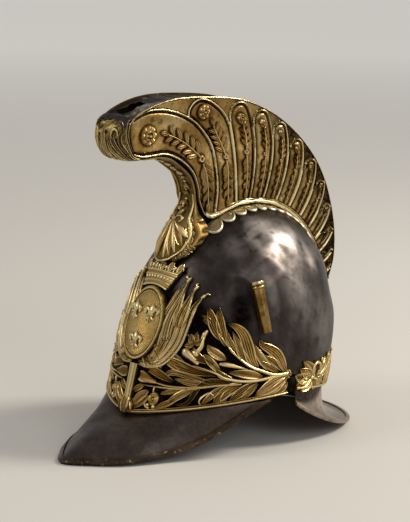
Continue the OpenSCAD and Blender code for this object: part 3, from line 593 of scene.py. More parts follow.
# Painted shade lies behind the ornaments: the steel is darkened below this height at each angle, where
# their shadow falls. Scuffs and sheen: angle, height, half sizes along and up in mm, share of bare steel;
# the first, second and fifth, high by the comb's foot, are a painted sheen, the rest bare steel. Shade
# patches: the same for places painted nearly black as shade, the first being the plume tube's shadow.
SHADE_PATCHES = [(60, 147, 16, 25, 1.0), (50, 176, 12, 10, 0.4), (78, 226, 22, 8, 0.35)]
GROUND_A = [0, 32, 38, 46, 54, 62, 68, 74, 80, 90, 100, 180]
GROUND_Z = [182, 170, 162, 160, 144, 132, 122, 124, 112, 92, 60, 60]
SCUFFS_AND_SHEEN = [(126, 203, 30, 26, 1.0), (100, 222, 50, 16, 1.0), (108, 160, 26, 34, 0.6), (122, 128, 22, 30, 0.5),
          (104, 212, 44, 18, 0.95), (62, 208, 24, 9, 0.5), (84, 168, 8, 26, 0.4), (150, 185, 30, 20, 0.5)]


def dent_depth(a, z):
    """Depth of all dents: each falls off as exp(-(distance in its own ellipse) to a power)."""
    total = np.zeros(np.broadcast(a, z).shape)
    for angle, height, long, wide, turn, depth, power in DENTS:
        s = ((a - angle + 180) % 360 - 180) * MM_PER_DEG * grow(np.asarray(z, float), 0).clip(0.3)
        t = z - height
        c, n = math.cos(math.radians(turn)), math.sin(math.radians(turn))
        r = np.hypot((s * c + t * n) / long, (t * c - s * n) / wide)
        total += depth * np.exp(-r ** (2 * power))
    return total


print("dents:", len(DENTS), "the deepest in mm:", max(row[5] for row in DENTS))

# %% Skull surface
SKULL_WALL = 1.4
COLS, LOW_ROWS, HIGH_ROWS = 360, 26, 78
HOLE_REACH, RIM_SQUARED = 14, 8.0
col_a = np.arange(COLS) * 360 / COLS
low_t = np.linspace(0, 1, LOW_ROWS, endpoint=False)[:, None]
dome_p = np.radians(np.linspace(0, 88.2, HIGH_ROWS))[:, None]


def dome(d):
    """The skull's surface: level rows from its edge to the datum, then up the superellipse to the top.

    Within HOLE_REACH of a boss hole's centre the points are pushed outwards. None stays nearer to
    it than the root of RIM_SQUARED, which is the hole's rim.
    """
    a = col_a[None]
    low_z = mix(edge_z(a), EQ_Z, low_t)
    high_z = EQ_Z + (CROWN_Z + d - EQ_Z) * np.sin(dome_p) ** (2 / ROUND) + 0 * a
    z = np.concatenate([low_z, high_z])
    a = a + 0 * z
    for sign in (1, -1):
        centre = BOSS_HOLE[0] * sign % 360
        s, t = (a - centre) * MM_PER_DEG, z - BOSS_HOLE[1]
        r = np.hypot(s, t).clip(1e-6)
        rim = np.sqrt(r * r + RIM_SQUARED * ramp((HOLE_REACH - r) / 9))
        push = np.where(r < HOLE_REACH, (rim - r) / r, 0)
        a, z = a + s * push / MM_PER_DEG, z + t * push
    sink = dent_depth(a, z) + 0.5 * ripple(skull_pt(a, z, 0), 46, 11) * ramp((z - 60) / 30)
    return skull_pt(a, z, d - sink.clip(-0.25) * ramp((236 - z) / 12))


outer, inner = dome(0), dome(-SKULL_WALL)
around = np.concatenate([outer, outer[:, :1]], 1)
middle = (around[:-1, :-1] + around[:-1, 1:] + around[1:, :-1] + around[1:, 1:]) / 4
holes = [np.linalg.norm(middle - skull_pt(BOSS_HOLE[0] * sign, BOSS_HOLE[1], 0), axis=-1) < BOSS_HOLE[2] * 0.8
         for sign in (1, -1)]
print("skull grid:", outer.shape[:2], "open cells:", int(sum(hole.sum() for hole in holes)))

# %% Skull painted shade, sheen and scuffs
turn_a = np.degrees(np.arctan2(outer[..., 0], -outer[..., 1]))
# Painted shade: below dark_top the steel is darkened where the ornaments' shadow falls.
dark_top = np.interp(np.abs(turn_a), GROUND_A, GROUND_Z)
skull_shade = ramp((dark_top - outer[..., 2] + 3 * ripple(outer, 15, 12)) / 14)


def patches(rows):
    """Largest of soft ellipses on both sides of the skull: share * exp(-(distance^2)^1.5)."""
    total = np.zeros_like(turn_a)
    for angle, height, wide, high, share in rows:
        aside = ((np.abs(turn_a) - angle) * MM_PER_DEG / wide) ** 2 + ((outer[..., 2] - height) / high) ** 2
        total = np.maximum(total, share * np.exp(-aside ** 1.5))
    return total


# Scuffs of bare steel, and a painted sheen high on the skull by the comb's foot.
bare_and_sheen = patches(SCUFFS_AND_SHEEN)
# The shade patches are painted shade, the first being the plume tube's shadow.
skull_shade = np.maximum(skull_shade, patches(SHADE_PATCHES))
bare_and_sheen *= ramp(0.72 + 0.6 * ripple(outer, 16, 13) + 0.35 * ripple(outer, 5, 14))
# Painted shade in the gaps under the lappet flange, beside the comb's foot.
by_comb = ramp((33 - np.abs(outer[..., 0])) / 3)
flange_shade = by_comb * ramp((outer[..., 2] - 190) / 8) * ramp((outer[..., 1] + 60) / 6)
skull_shade = np.maximum(skull_shade, 0.3 * flange_shade)
shell = slab(outer, inner, wrap=True, gone=holes[0] | holes[1], cap=True)
build("skull_shell", [part_with_shade_and_wear(shell, skull_shade - 0.6 * bare_and_sheen, 0)], skull_steel, "skull",
      crease=60)

# %% [markdown]
# ## Visor and neck guard
# The visor is a sheet between its root inside the skull's edge and a rim found on the real outline.
# A folded binding grips the rim: a thin U section carried round it.

# %% Visor surface
RIM_REACH = [(0, -81.6, -32.2), (7.4, -65.6, -34.4), (11.3, -47.5, -37), (9.3, -25.4, -37.6),
             (5.8, -10.4, -35.1), (4.2, -4.2, -27.9), (3.1, -2.2, -17.7), (2.1, -1, -8.1), (1.5, -1.9, -0.4)]
UNDER = -SKULL_WALL - FIT
VISOR_WALL, BINDING_WALL, BINDING_DEPTH = 1.2, 0.8, 6.0
VISOR_STEP, ROOT_UP, ROOT_OUT = 10, -3.4, 0.5


def at_edge(i, up, out):
    """Point i steps round from the front, up mm over the skull's edge and out mm outside it."""
    return skull_pt(i * VISOR_STEP, edge_z(i * VISOR_STEP) + up, out)


half_rim = np.array([at_edge(i, ROOT_UP, ROOT_OUT) + r for i, r in enumerate(RIM_REACH)])
full_rim = np.concatenate([half_rim[:0:-1] * np.array([-1, 1, 1]), half_rim])
visor_i = np.linspace(-8, 8, 193)
visor_root = at_edge(visor_i, ROOT_UP, ROOT_OUT)
visor_rim = spline(full_rim, visor_i + 8)


def visor_rows():
    """Rows from the rim to the flange inside the skull. The middle swells by up to 3 mm."""
    reach = np.linalg.norm(visor_rim - visor_root, axis=1)
    stop = (1 - (BINDING_DEPTH + 1) / reach).clip(0.3)
    rows = [visor_rim]
    for t in np.concatenate([[1], np.linspace(0.97, 0.03, 40)]):
        k = (stop * t)[:, None]
        p = mix(visor_root, visor_rim, k)
        p[:, 2] += 3 * np.sin(np.pi * k[:, 0]) * np.cos(np.radians(visor_i * VISOR_STEP))
        rows.append(p)
    for up, out in ((-2.2, UNDER + 0.6), (-0.4, UNDER), (4, UNDER), (9, UNDER)):
        rows.append(at_edge(visor_i, up, out))
    return np.array(rows)


def normals(grid):
    """Unit normals of a grid by differences along its columns and rows."""
    return unit(np.cross(np.gradient(grid, axis=1), np.gradient(grid, axis=0)))


visor_front = visor_rows()
visor_n = normals(visor_front)
surface_marks = 0.28 * ripple(visor_front, 30, 5) + 0.12 * ripple(visor_front, 11, 6)
rows = np.arange(len(visor_front))[:, None]
surface_marks *= ramp((rows - 3) / 4) * ramp((41 - rows) / 4)
visor_top = visor_front + visor_n * surface_marks[..., None]
build("visor_plate", [slab(visor_top, visor_top - visor_n * VISOR_WALL)], visor_steel, "visor",
      crease=40)


# %% Visor binding
def folded_edge(rim, inward, normal, depth, wall, gap):
    """A U section round a sheet's edge, rounded at the fold."""
    m, o = wall / 2 + gap, wall / 2 + gap + BINDING_WALL
    turn = np.linspace(math.pi / 2, -math.pi / 2, 9)
    outer_arc = [(-gap - BINDING_WALL * 0.2 - o * 0.35 * math.cos(t), o * math.sin(t)) for t in turn]
    section = [(depth, o)] + outer_arc + [(depth, -o), (depth, -m), (-gap * 0.5, -m), (-gap * 0.5, m),
                                          (depth, m)]
    length = np.linalg.norm(inward, axis=1, keepdims=True)
    t = inward / length
    shorter = np.minimum(1, 0.9 * length / depth)
    rings = [rim - normal * (wall / 2 - h) + t * (s * shorter if s > 0 else s) for s, h in section]
    return tube(np.array(rings).transpose(1, 0, 2)[:, ::-1])


build("visor_edge", [folded_edge(visor_front[0], visor_front[1] - visor_front[0], visor_n[0], BINDING_DEPTH,
                                 VISOR_WALL, FIT)], bronze, "visor_binding", crease=40)

# %% Neck guard
NECK_FROM, NECK_REACH, NECK_WALL, NECK_BINDING, NECK_ROWS = 97.0, 36.0, 1.2, 3.5, 40
neck_a = np.linspace(NECK_FROM, 360 - NECK_FROM, 181)
beside = np.abs(180 - neck_a) / (180 - NECK_FROM)


def neck_row(t):
    """A row of the neck guard: straight down at first, then flaring outwards to its low rim."""
    root = skull_pt(neck_a, edge_z(neck_a) - 1, UNDER)
    e = (NECK_REACH * (1 - beside * beside) + 1.2) * t ** 4.5
    a = np.radians(neck_a)
    return np.stack([root[:, 0] + e * np.sin(a), root[:, 1] - e * np.cos(a),
                     mix(root[:, 2], 4 + 45 * beside ** 3, t)], -1)


neck_grid = np.array([neck_row(t) for t in np.linspace(1, 0, NECK_ROWS)]
                     + [skull_pt(neck_a, edge_z(neck_a) + up, UNDER) for up in (3, 6, 9)])
neck_n = normals(neck_grid)
rows = np.arange(len(neck_grid))[:, None]
uneven = 0.3 * ripple(neck_grid, 26, 8) + 0.1 * ripple(neck_grid, 9, 9)
uneven = uneven * ramp((rows - 4) / 5) * ramp((NECK_ROWS - 2 - rows) / 4)
neck_top = neck_grid + neck_n * uneven[..., None]
# Painted shade: the guard's ends are darkened near the top, where the band's shadow falls on them.
dirt_and_shade = 0.9 * ramp((beside - 0.5 - 0.5 * (1 - rows / (NECK_ROWS - 1))) * 6)
neck_sheet = part_with_shade_and_wear(slab(neck_top, neck_top - neck_n * NECK_WALL), dirt_and_shade, 0.3)
build("neck_plate", [neck_sheet], neck_steel, "neck_guard", crease=40)
neck_fold = folded_edge(neck_grid[0], neck_grid[3] - neck_grid[0], neck_n[0], NECK_BINDING, NECK_WALL, FIT)
build("neck_edge", [neck_fold], neck_steel, "neck_binding", crease=40)

# %% [markdown]
# ## The comb
# Each side of the comb is one stamped plate. Spokes, which are curves with one control point, run
# from the plate's foot to its outer edge. The share u counts them and the share v runs up each one,
# so the plate and its godroons are functions of u and v.

# %% Comb spokes
COMB_FOOT, COMB_EDGE, COMB_WALL, FOOT_D, TOP_GAP = 14.5, 21.5, 1.0, 2.2, 3.4
FOOT_Q = [-0.357, -0.135, 0.005, 0.154, 0.3, 0.447, 0.579, 0.685, 0.768, 0.833, 0.878, 0.911, 0.934]
FRONT_LOW = [(-134, 68), (-124, 64.7), (-110, 64.4), (-97, 64.8), (-83.5, 61.2), (-69, 53.5), (-55, 41),
             (-47.8, 25.5), (-44.8, 10), (-36.5, -4.5)]
OUTER = [(-140, 100), (-129, 108), (-113, 114), (-98, 117.5), (-86, 119), (-78, 119.5), (-72, 119.5),
         (-69, 119.5), (-66.5, 119.3), (-64.5, 119.2), (-60, 119.3), (-20, 116), (10.4, 110.7), (40, 99.6),
         (66.4, 84.7), (91.8, 64.5), (113.5, 41.2), (128.4, 17.9), (139.1, -7.5), (146.2, -33.2),
         (148.8, -55.3), (147.5, -75.4), (139, -98)]
BULGE = [-5, -2, 0, 2, 4, 6, 7, 8, 9, 9, 9, 7, 12, 13, 12, 11, 9, 8, 7, 6, 5, 4, 2]
HALF_FOOT = [19.5, 19.5, 19.5, 19.5, 19, 18, 17, 16, 15, 14.5]
CREST = np.array([0, CROWN_Z])
low_line = np.concatenate([np.array(FRONT_LOW) + CREST, crown_pt(COMB_FOOT, np.array(FOOT_Q), FOOT_D)[:, 1:]])
outer_line = np.array(OUTER) + CREST


def spoke(u, v):
    """Point (y, z) at share v of spoke u: a curve from the foot to the edge, bowed by BULGE."""
    u, v = np.broadcast_arrays(u, v)
    a, b = spline(low_line, u), spline(outer_line, u)
    c = b - a
    n = np.stack([c[..., 1], -c[..., 0]], -1) / np.linalg.norm(c, axis=-1, keepdims=True)
    m = a + 0.58 * c + 2 * spline(BULGE, u)[..., None] * n
    v = v[..., None]
    return (1 - v) ** 2 * a + 2 * v * (1 - v) * m + v * v * b


def spoke_len(u):
    """Straight length of spoke u in mm."""
    return np.linalg.norm(spline(outer_line, u) - spline(low_line, u), axis=-1)


def half_t(u, v):
    """Half of the comb's thickness: narrow at the foot, wide at the outer edge."""
    f = np.where(u < 10, mix(COMB_FOOT, np.interp(u, range(10), HALF_FOOT), ramp((9.6 - u) * 2)), COMB_FOOT)
    return mix(f, mix(COMB_EDGE, COMB_FOOT + 1.5, ramp((u - 15) / 7)), v)


print("spokes:", len(outer_line), "the longest in mm:", spoke_len(np.arange(len(outer_line))).max().round(1))

# %% [markdown]
# A godroon is a raised tongue inside a thin bead, with a deep groove between the two. Its height
# depends on one number, the distance inside its outline. Most tongues have straight sides along two
# spokes and a round arch, so the distance is half the width less the distance to the middle line, or
# above the arch's centre its radius less the distance to the centre. The volute and the first tongue
# have drawn outlines, where the distance is the one to the nearest stretch of the line.

# %% Distances inside the outlines
VOLUTE_LINE = [(-136, 104), (-125.5, 108.2), (-114, 110.2), (-98.5, 109.6), (-85, 106.9), (-71, 102),
               (-57, 94.7), (-46.6, 86.1), (-37, 76.1), (-30.5, 66.2), (-26.5, 55), (-24, 43), (-22, 31),
               (-21.3, 19), (-22.5, 7), (-24, -6)]
FIRST_ARCH = [(-64, 94), (-64.2, 104.4), (-61, 110.2), (-55, 114.6), (-47, 115.9), (-37, 113.3), (-27, 107.6),
              (-19, 101.5), (-13, 95)]


def cross(a, b):
    """Flat cross product: a's first times b's second less a's second times b's first."""
    return a[..., 0] * b[..., 1] - a[..., 1] * b[..., 0]


def from_line(points, line):
    """Signed distance from a drawn line: positive on its left, seen along it."""
    a, d = line[:-1], np.diff(line, axis=0)
    gap = points[..., None, :] - a
    t = ((gap * d).sum(-1) / (d * d).sum(-1)).clip(0, 1)
    off = np.linalg.norm(gap - t[..., None] * d, axis=-1)
    near = off.argmin(-1)[..., None]
    return (np.sign(np.take_along_axis(cross(d, gap), near, -1)) * np.take_along_axis(off, near, -1))[..., 0]


volute_line = along(np.array(VOLUTE_LINE) + CREST, 46)
first_line = np.concatenate([along(np.array(FIRST_ARCH) + CREST, 26),
                             spoke(11.0, np.linspace(0.68, -0.05, 16))])


def half_width(k, v, axis):
    """Half of tongue k's width at share v, square to its axis."""
    return 0.5 * np.abs(cross(spoke(k + 1, v) - spoke(k, v), axis))


def arch(k):
    """Top of tongue k's middle line, its direction, the arch's radius and how far its centre lies down it."""
    k = np.asarray(k, float)
    top, under = spoke(k + 0.5, 1.0), spoke(k + 0.5, 0.8)
    axis = (top - under) / np.linalg.norm(top - under, axis=-1, keepdims=True)
    edge = spoke(k + 1, 1.0) - spoke(k, 1.0)
    edge /= np.linalg.norm(edge, axis=-1, keepdims=True)
    slant = np.abs(cross(edge, axis)).clip(0.25)
    radius = half_width(k, 0.86, axis)
    return top, axis, radius, (radius + TOP_GAP) / slant


def between(k, points, v):
    """Distance inside tongue k, and its half width, for points of the plate at share v."""
    k = np.asarray(k, float)
    top, axis, radius, drop = arch(k)
    centre = top - axis * drop[..., None]
    gap = points - centre
    rise = (gap * axis).sum(-1)
    middle = spoke(k + 0.5, v)
    aside = np.linalg.norm(points - middle, axis=-1)
    chord = np.linalg.norm(spoke(k + 1, v) - spoke(k, v), axis=-1)
    straight = half_width(k, v, axis) * (1 - 2 * aside / chord)
    return mix(straight, radius - np.linalg.norm(gap, axis=-1), ramp(rise / 3 + 0.5)), radius


print("arch radii of the tongues in mm:", arch(np.arange(11, 22))[2].round(1))

# %% Godroon relief
BEAD_R, TONGUE_H = 1.1, 3.2


def godroon_height(s, room):
    """Height by distance s inside an outline whose middle is room away."""
    border = 2.5 * half_round(s, 0, BEAD_R)
    start = np.minimum(3.0, 1.1 + 0.16 * room)
    share = ((s - start) / (room - start).clip(2)).clip(0, 1)
    swell = 0.7 + (TONGUE_H - 0.7) * np.sqrt(share * (2 - share))
    tongue = np.where(s > start, ramp((s - start) / 0.8) * swell, 0)
    outside = 0.9 * ramp((-s - 1.3) / 0.7)
    return np.maximum.reduce([border, tongue, outside])


def comb_relief(u, v):
    """Relief in mm of the volute, the godroons, the lip and the foot beads, and what its wear needs.

    Returns the relief, the distance inside the outlines, and 1 on the lip and the foot beads.
    """
    u, v = np.broadcast_arrays(np.asarray(u, float), np.asarray(v, float))
    points, n = spoke(u, v), spoke_len(u)
    inside, room = between(np.floor(u).clip(11, 21), points, v)
    front = u < 11
    if front.any():
        p = points[front]
        past = from_line(p, volute_line)
        volute = np.minimum.reduce([-past, v[front] * n[front] - 0.9, u[front] * 12 - 1.2])
        first = np.minimum(past, -from_line(p, first_line))
        best = np.maximum.reduce([volute, first, np.where(u[front] > 10, inside[front], -9)])
        room[front] = np.where(volute > first, 19, 15)
        inside[front] = best
    rim = (1 - v) * n
    height = godroon_height(inside, room)
    height = np.where(inside < 0, height * ramp((rim - 2.3) / 0.7), height)
    lip = 1.7 * half_round(rim, 1.1, 1.0)
    up = v * n
    band = 2.6 * half_round(up, 1.9, 1.8) + 1.4 * half_round(up, 4.3, 0.6)
    height = np.where((u > 10) & (up < 5.6), height * ramp((up - 4.8) / 0.8), height)
    band = np.where(u > 9, band, 0)
    edging = ramp((np.maximum(lip, band) - 0.6) * 1.5)
    return np.maximum.reduce([height, lip, band]).clip(0, 3.2), inside, edging


# %% Comb grid
BACK_EVERY = 20
lobe_t = np.linspace(0, 1, 25)[:-1]
lobe_w = lobe_t - 0.115 * np.sin(2 * math.pi * lobe_t)
comb_u = np.concatenate([np.linspace(0, 1.9, 26), np.linspace(2, 9.95, 130), np.linspace(10, 10.97, 40),
                         (11 + np.arange(11)[:, None] + lobe_w).ravel(), [22]])
comb_v = np.linspace(0, 1, 181)
comb_v = comb_v - 0.05 * np.sin(2 * math.pi * comb_v)
U, V = np.meshgrid(comb_u, comb_v)
relief, inside, lip_or_foot = comb_relief(U, V)
relief = np.where((V <= 0) | (V >= 1), 1.0, relief)
comb_x = half_t(U, V)
plane = spoke(U, V)
comb_front = np.concatenate([(comb_x + relief)[..., None], plane], -1)
comb_back = np.concatenate([(comb_x - COMB_WALL)[..., None], plane], -1)[::BACK_EVERY]
print("comb grid:", relief.shape, "highest relief in mm:", relief.max().round(2))

# %% [markdown]
# Each tongue of the comb carries a rosette, a spray of laurel above a ring bead and another that
# hangs below it. A tongue has its own chart: millimetres across it and millimetres up its middle.
# The leaves are small, so each is only a few faces.

# %% Leaves, sprays and rosettes
PLATE_H = 2.9


def on_tongue(k):
    """Chart of tongue k: p mm across its middle line, q mm up from the comb's foot."""
    def chart(p, q):
        n = spoke_len(k + 0.5)
        v = q / n
        width = np.linalg.norm(spoke(k + 1, v) - spoke(k, v), axis=-1)
        u = k + 0.5 + p / width.clip(3)
        return np.concatenate([(half_t(u, v) + PLATE_H)[..., None], spoke(u, v)], -1)
    return chart


def small_leaf(chart, root, angle, length, width, rise=2.0):
    """A blunt leaf with raised edges from its root, turned by angle in degrees from straight up."""
    way = np.array([math.sin(math.radians(angle)), math.cos(math.radians(angle))])
    side = np.array([way[1], -way[0]])
    root = np.array(root)
    path = [root, root + way * length * 0.5 + side * width * 0.12, root + way * length]
    half = [width * 0.14, width * 0.42, width * 0.56, width * 0.5, width * 0.1]
    return ribbon(chart, path, half, [rise * 0.7, rise, rise, 1.2], RIMMED, 8, low=0.3)


def spray(chart, path, pairs, length, width, turn):
    """A stalk with pairs of leaves that shrink towards its end, and one leaf at the tip."""
    parts = [ribbon(chart, path, [1.0, 0.7], [2.4, 2.0], WIRE, 10, low=0.2)]
    spots = along(path, pairs * 2 + 3)
    run = np.gradient(spots, axis=0)
    for i in range(pairs):
        place, way = spots[2 * i + 1], run[2 * i + 1]
        heading = math.degrees(math.atan2(way[0], way[1]))
        size = 1 - 0.25 * i / pairs
        for sign in (-1, 1):
            parts.append(small_leaf(chart, place, heading + sign * turn, length * size, width * size))
    last = math.degrees(math.atan2(run[-2][0], run[-2][1]))
    parts.append(small_leaf(chart, spots[-2], last, length * 0.8, width * 0.8))
    return parts


def rosette(chart, centre, radius, petals=6, rise=2.4):
    """A flower: a dome of two rings of nodules round an eye, with hollows between them."""
    def height(r, a):
        outer_ring = bell(r, 0.76, 0.17) * (0.7 + 0.3 * np.cos(petals * a))
        inner_ring = bell(r, 0.42, 0.13) * (0.85 + 0.3 * np.cos((petals - 2) * a + 1))
        return rise * (0.75 * outer_ring + 0.95 * inner_ring + 1.1 * bell(r, 0, 0.16)).clip(0.05)
    return boss(chart, centre, radius, height, 40, low=-0.2)


def bead(chart, centre, radius, rise=None, around=14, low=-0.2):
    """A plain half-round bead, as high as its radius unless rise says otherwise."""
    def height(r, a):
        return (rise or radius) * half_round(r, 0, 1) + 0 * a
    return boss(chart, centre, radius, height, around, low)


def ring(chart, centre, radius, rise):
    """A round bead with a hole in its middle."""
    def height(r, a):
        return rise * np.exp(-((r - 0.62) / 0.26) ** 4) + 0 * a
    return boss(chart, centre, radius, height, 20, low=-0.2)


# %% Laurel on the tongues
laurel = []
for k in range(11, 22):
    chart, n = on_tongue(k), float(spoke_len(k + 0.5))
    room, drop = (float(value) for value in arch(k)[2:])
    r = min(0.56 * room, 0.3 * n)
    top = n - drop - min(0.5 * room, 0.1 * n)
    laurel.append(rosette(chart, (0, top), r, 6, 0.45 * r + 0.8))
    middle = 0.44 * n
    ring_r = 0.21 * room + 0.5
    laurel.append(ring(chart, (0, middle), ring_r, 0.9 + 0.4 * ring_r))
    leaf_l, leaf_w = 0.62 * room + 2.4, 0.25 * room + 0.8
    reach = top - r - middle - ring_r - 1
    laurel += spray(chart, [(0, middle + ring_r), (0.06 * room, middle + ring_r + 0.5 * reach),
                            (-0.06 * room, middle + ring_r + reach)],
                    max(2, int(reach / leaf_l * 1.4)), leaf_l, leaf_w, 38)
    stop = 5.0 + 0.6 * leaf_l
    fall = middle - ring_r - stop
    laurel += spray(chart, [(0, middle - ring_r), (0.05 * room, 0.5 * (middle + stop)), (0, stop)],
                    max(2, int(fall / leaf_l * 1.25)), leaf_l * 0.95, leaf_w * 0.9, 28)
print("parts of laurel on the tongues:", len(laurel))

# %% [markdown]
# The volute and the first tongue bend too much for one middle line, so their ornament is drawn in the
# plane of the plate, in mm behind the datum and mm up. A few Newton steps find a point's u and v.

# %% Volute ornament
probe_u, probe_v = np.meshgrid(np.linspace(0.2, 11.4, 60), np.linspace(0.02, 0.98, 40))
probe = spoke(probe_u, probe_v)


def on_plate(p, q):
    """Chart of the plate by its own plane: (y, z) in mm."""
    target = np.stack([p, q], -1)
    flat = target.reshape(-1, 2)
    near = ((flat[:, None] - probe.reshape(1, -1, 2)) ** 2).sum(-1).argmin(1)
    u, v = probe_u.ravel()[near], probe_v.ravel()[near]
    for _ in range(4):
        here = spoke(u, v)
        du, dv = (spoke(u + 0.01, v) - here) / 0.01, (spoke(u, v + 0.01) - here) / 0.01
        gap = flat - here
        det = cross(du, dv)
        u = (u + cross(gap, dv) / det).clip(-0.2, 11.6)
        v = (v + cross(du, gap) / det).clip(0, 1)
    return np.concatenate([(half_t(u, v) + PLATE_H).reshape(p.shape)[..., None], target], -1)


laurel.append(rosette(on_plate, (-118, 327), 10.5, 8, 6.0))
laurel.append(ring(on_plate, (-47, 297), 4.2, 3.0))
laurel += spray(on_plate, [(-50, 300), (-59, 307), (-72, 316), (-86, 323), (-93, 325.5)], 5, 15, 5.8, 42)
laurel += spray(on_plate, [(-45, 292), (-40, 281), (-37, 265), (-36, 249)], 4, 15, 4.9, 30)
laurel.append(rosette(on_plate, (-46, 344), 8.2, 7, 4.8))
laurel.append(ring(on_plate, (-14, 296), 3.4, 2.6))
laurel += spray(on_plate, [(-15.5, 299), (-21, 309), (-28, 320), (-33, 329)], 4, 13.5, 5.0, 37)
laurel += spray(on_plate, [(-13, 292), (-10.5, 281), (-9.5, 265), (-9, 251)], 4, 13.5, 4.4, 28)
build_pair("comb_laurel", laurel, comb_leaf)

# %% [markdown]
# Dirt gathers in the grooves and at the feet of the leaves. The grooves follow from the relief. For
# the leaves a map of the plate in 0.7 mm cells is marked wherever a leaf has a point, spread by a cell
# or two and smoothed, and each point of the plate then looks up its own cell.

# %% Comb dirt map
CELL, MAP_Y, MAP_Z, MAP_ROWS, MAP_COLS = 0.7, -150.0, 130.0, 470, 350
dirt_map = np.zeros((MAP_ROWS, MAP_COLS))


def map_cell(y, z):
    """Row and column of the dirt map for a point of the plate."""
    row, column = ((y - MAP_Y) / CELL).astype(int), ((z - MAP_Z) / CELL).astype(int)
    return row.clip(0, MAP_ROWS - 1), column.clip(0, MAP_COLS - 1)


def neighbours(cells):
    """The map shifted by one cell each way along both axes."""
    return [np.roll(cells, step, axis) for step in (-1, 1) for axis in (0, 1)]


for part in laurel:
    dirt_map[map_cell(part[0][:, 1], part[0][:, 2])] = 1
for _ in range(2):
    dirt_map = np.maximum.reduce([dirt_map] + neighbours(dirt_map))
for _ in range(3):
    dirt_map = (dirt_map * 2 + sum(neighbours(dirt_map))) / 6
leaf_dirt = dirt_map[map_cell(plane[..., 0], plane[..., 1])]
print("share of the plate with leaf dirt:", leaf_dirt.mean().round(3))

# %% Comb plates
# The beads, lip and foot beads are painted bright, and the tongues' tops a little: rubbed brass that also
# serves as a painted highlight.
on_bead = ramp((BEAD_R + 0.15 - np.abs(inside)) * 4) * (relief > 1.2)
comb_wear_and_highlight = np.interp(relief, [0, 0.5, 1.0, 1.7, 2.5, 3.1], [1, 0.9, 0.45, 0.2, -0.05, -0.3])
comb_wear_and_highlight = np.where(inside < -1, mix(0.3, 0.95, ramp((U - 11.5) / 3)), comb_wear_and_highlight)
comb_wear_and_highlight = np.maximum(comb_wear_and_highlight, 0.95 * leaf_dirt * (1 - on_bead))
comb_wear_and_highlight = mix(comb_wear_and_highlight, -0.6, np.maximum(on_bead, lip_or_foot))
comb_side = part_with_shade_and_wear(thin(comb_front, comb_back, BACK_EVERY), comb_wear_and_highlight, 0.8)
build_pair("comb_plate", [comb_side], comb_gilt, "comb", crease=70)

# %% [markdown]
# ## Side bands
# The side bands are foliage: stems that leave a knot over the ear, laurel and lilies that grow out of
# them. Every leaf is one ribbon along a few points, as angle round the skull and height. The points
# were read off the photograph as if they lay on the skull. The relief stands about 3 mm off it, so
# the chart turns each angle a little towards the photograph's own, 48 degrees.

# %% Side band chart
PHOTO_AZ = 48.0


def on_band(p, q):
    """Chart of the skull by the angle seen in the photograph."""
    a = p / MM_PER_DEG
    return skull_pt(a + 1.5 * np.tan(np.radians((PHOTO_AZ - a).clip(-60, 60))), q, 0)


def leaf_work(chart, rows, low=0.0):
    """Ribbons for rows of (shape, half widths, rise, path of (angle, height))."""
    return [ribbon(chart, [(a * MM_PER_DEG, z) for a, z in path], half, rise, shape, 5 * len(path), low=low)
            for shape, half, rise, path in rows]


LEAF_RISE = [1.6, 2.6, 3.2, 3.0, 2.2, 0.8]
STEM_RISE = [3.2, 3.4, 3.0, 2.4]


def leaf_of(width):
    """Half widths of a leaf from stalk to point."""
    return [0.4 * width, 1.25 * width, 1.5 * width, 1.3 * width, 0.75 * width, 0.1]


def leaf(shape, width, *path):
    """Row of an ordinary leaf along its path of (angle, height)."""
    return shape, leaf_of(width), LEAF_RISE, path


print("angle 20 in the photograph, in mm:", on_band(np.array(20 * MM_PER_DEG), 100.0).round(1))

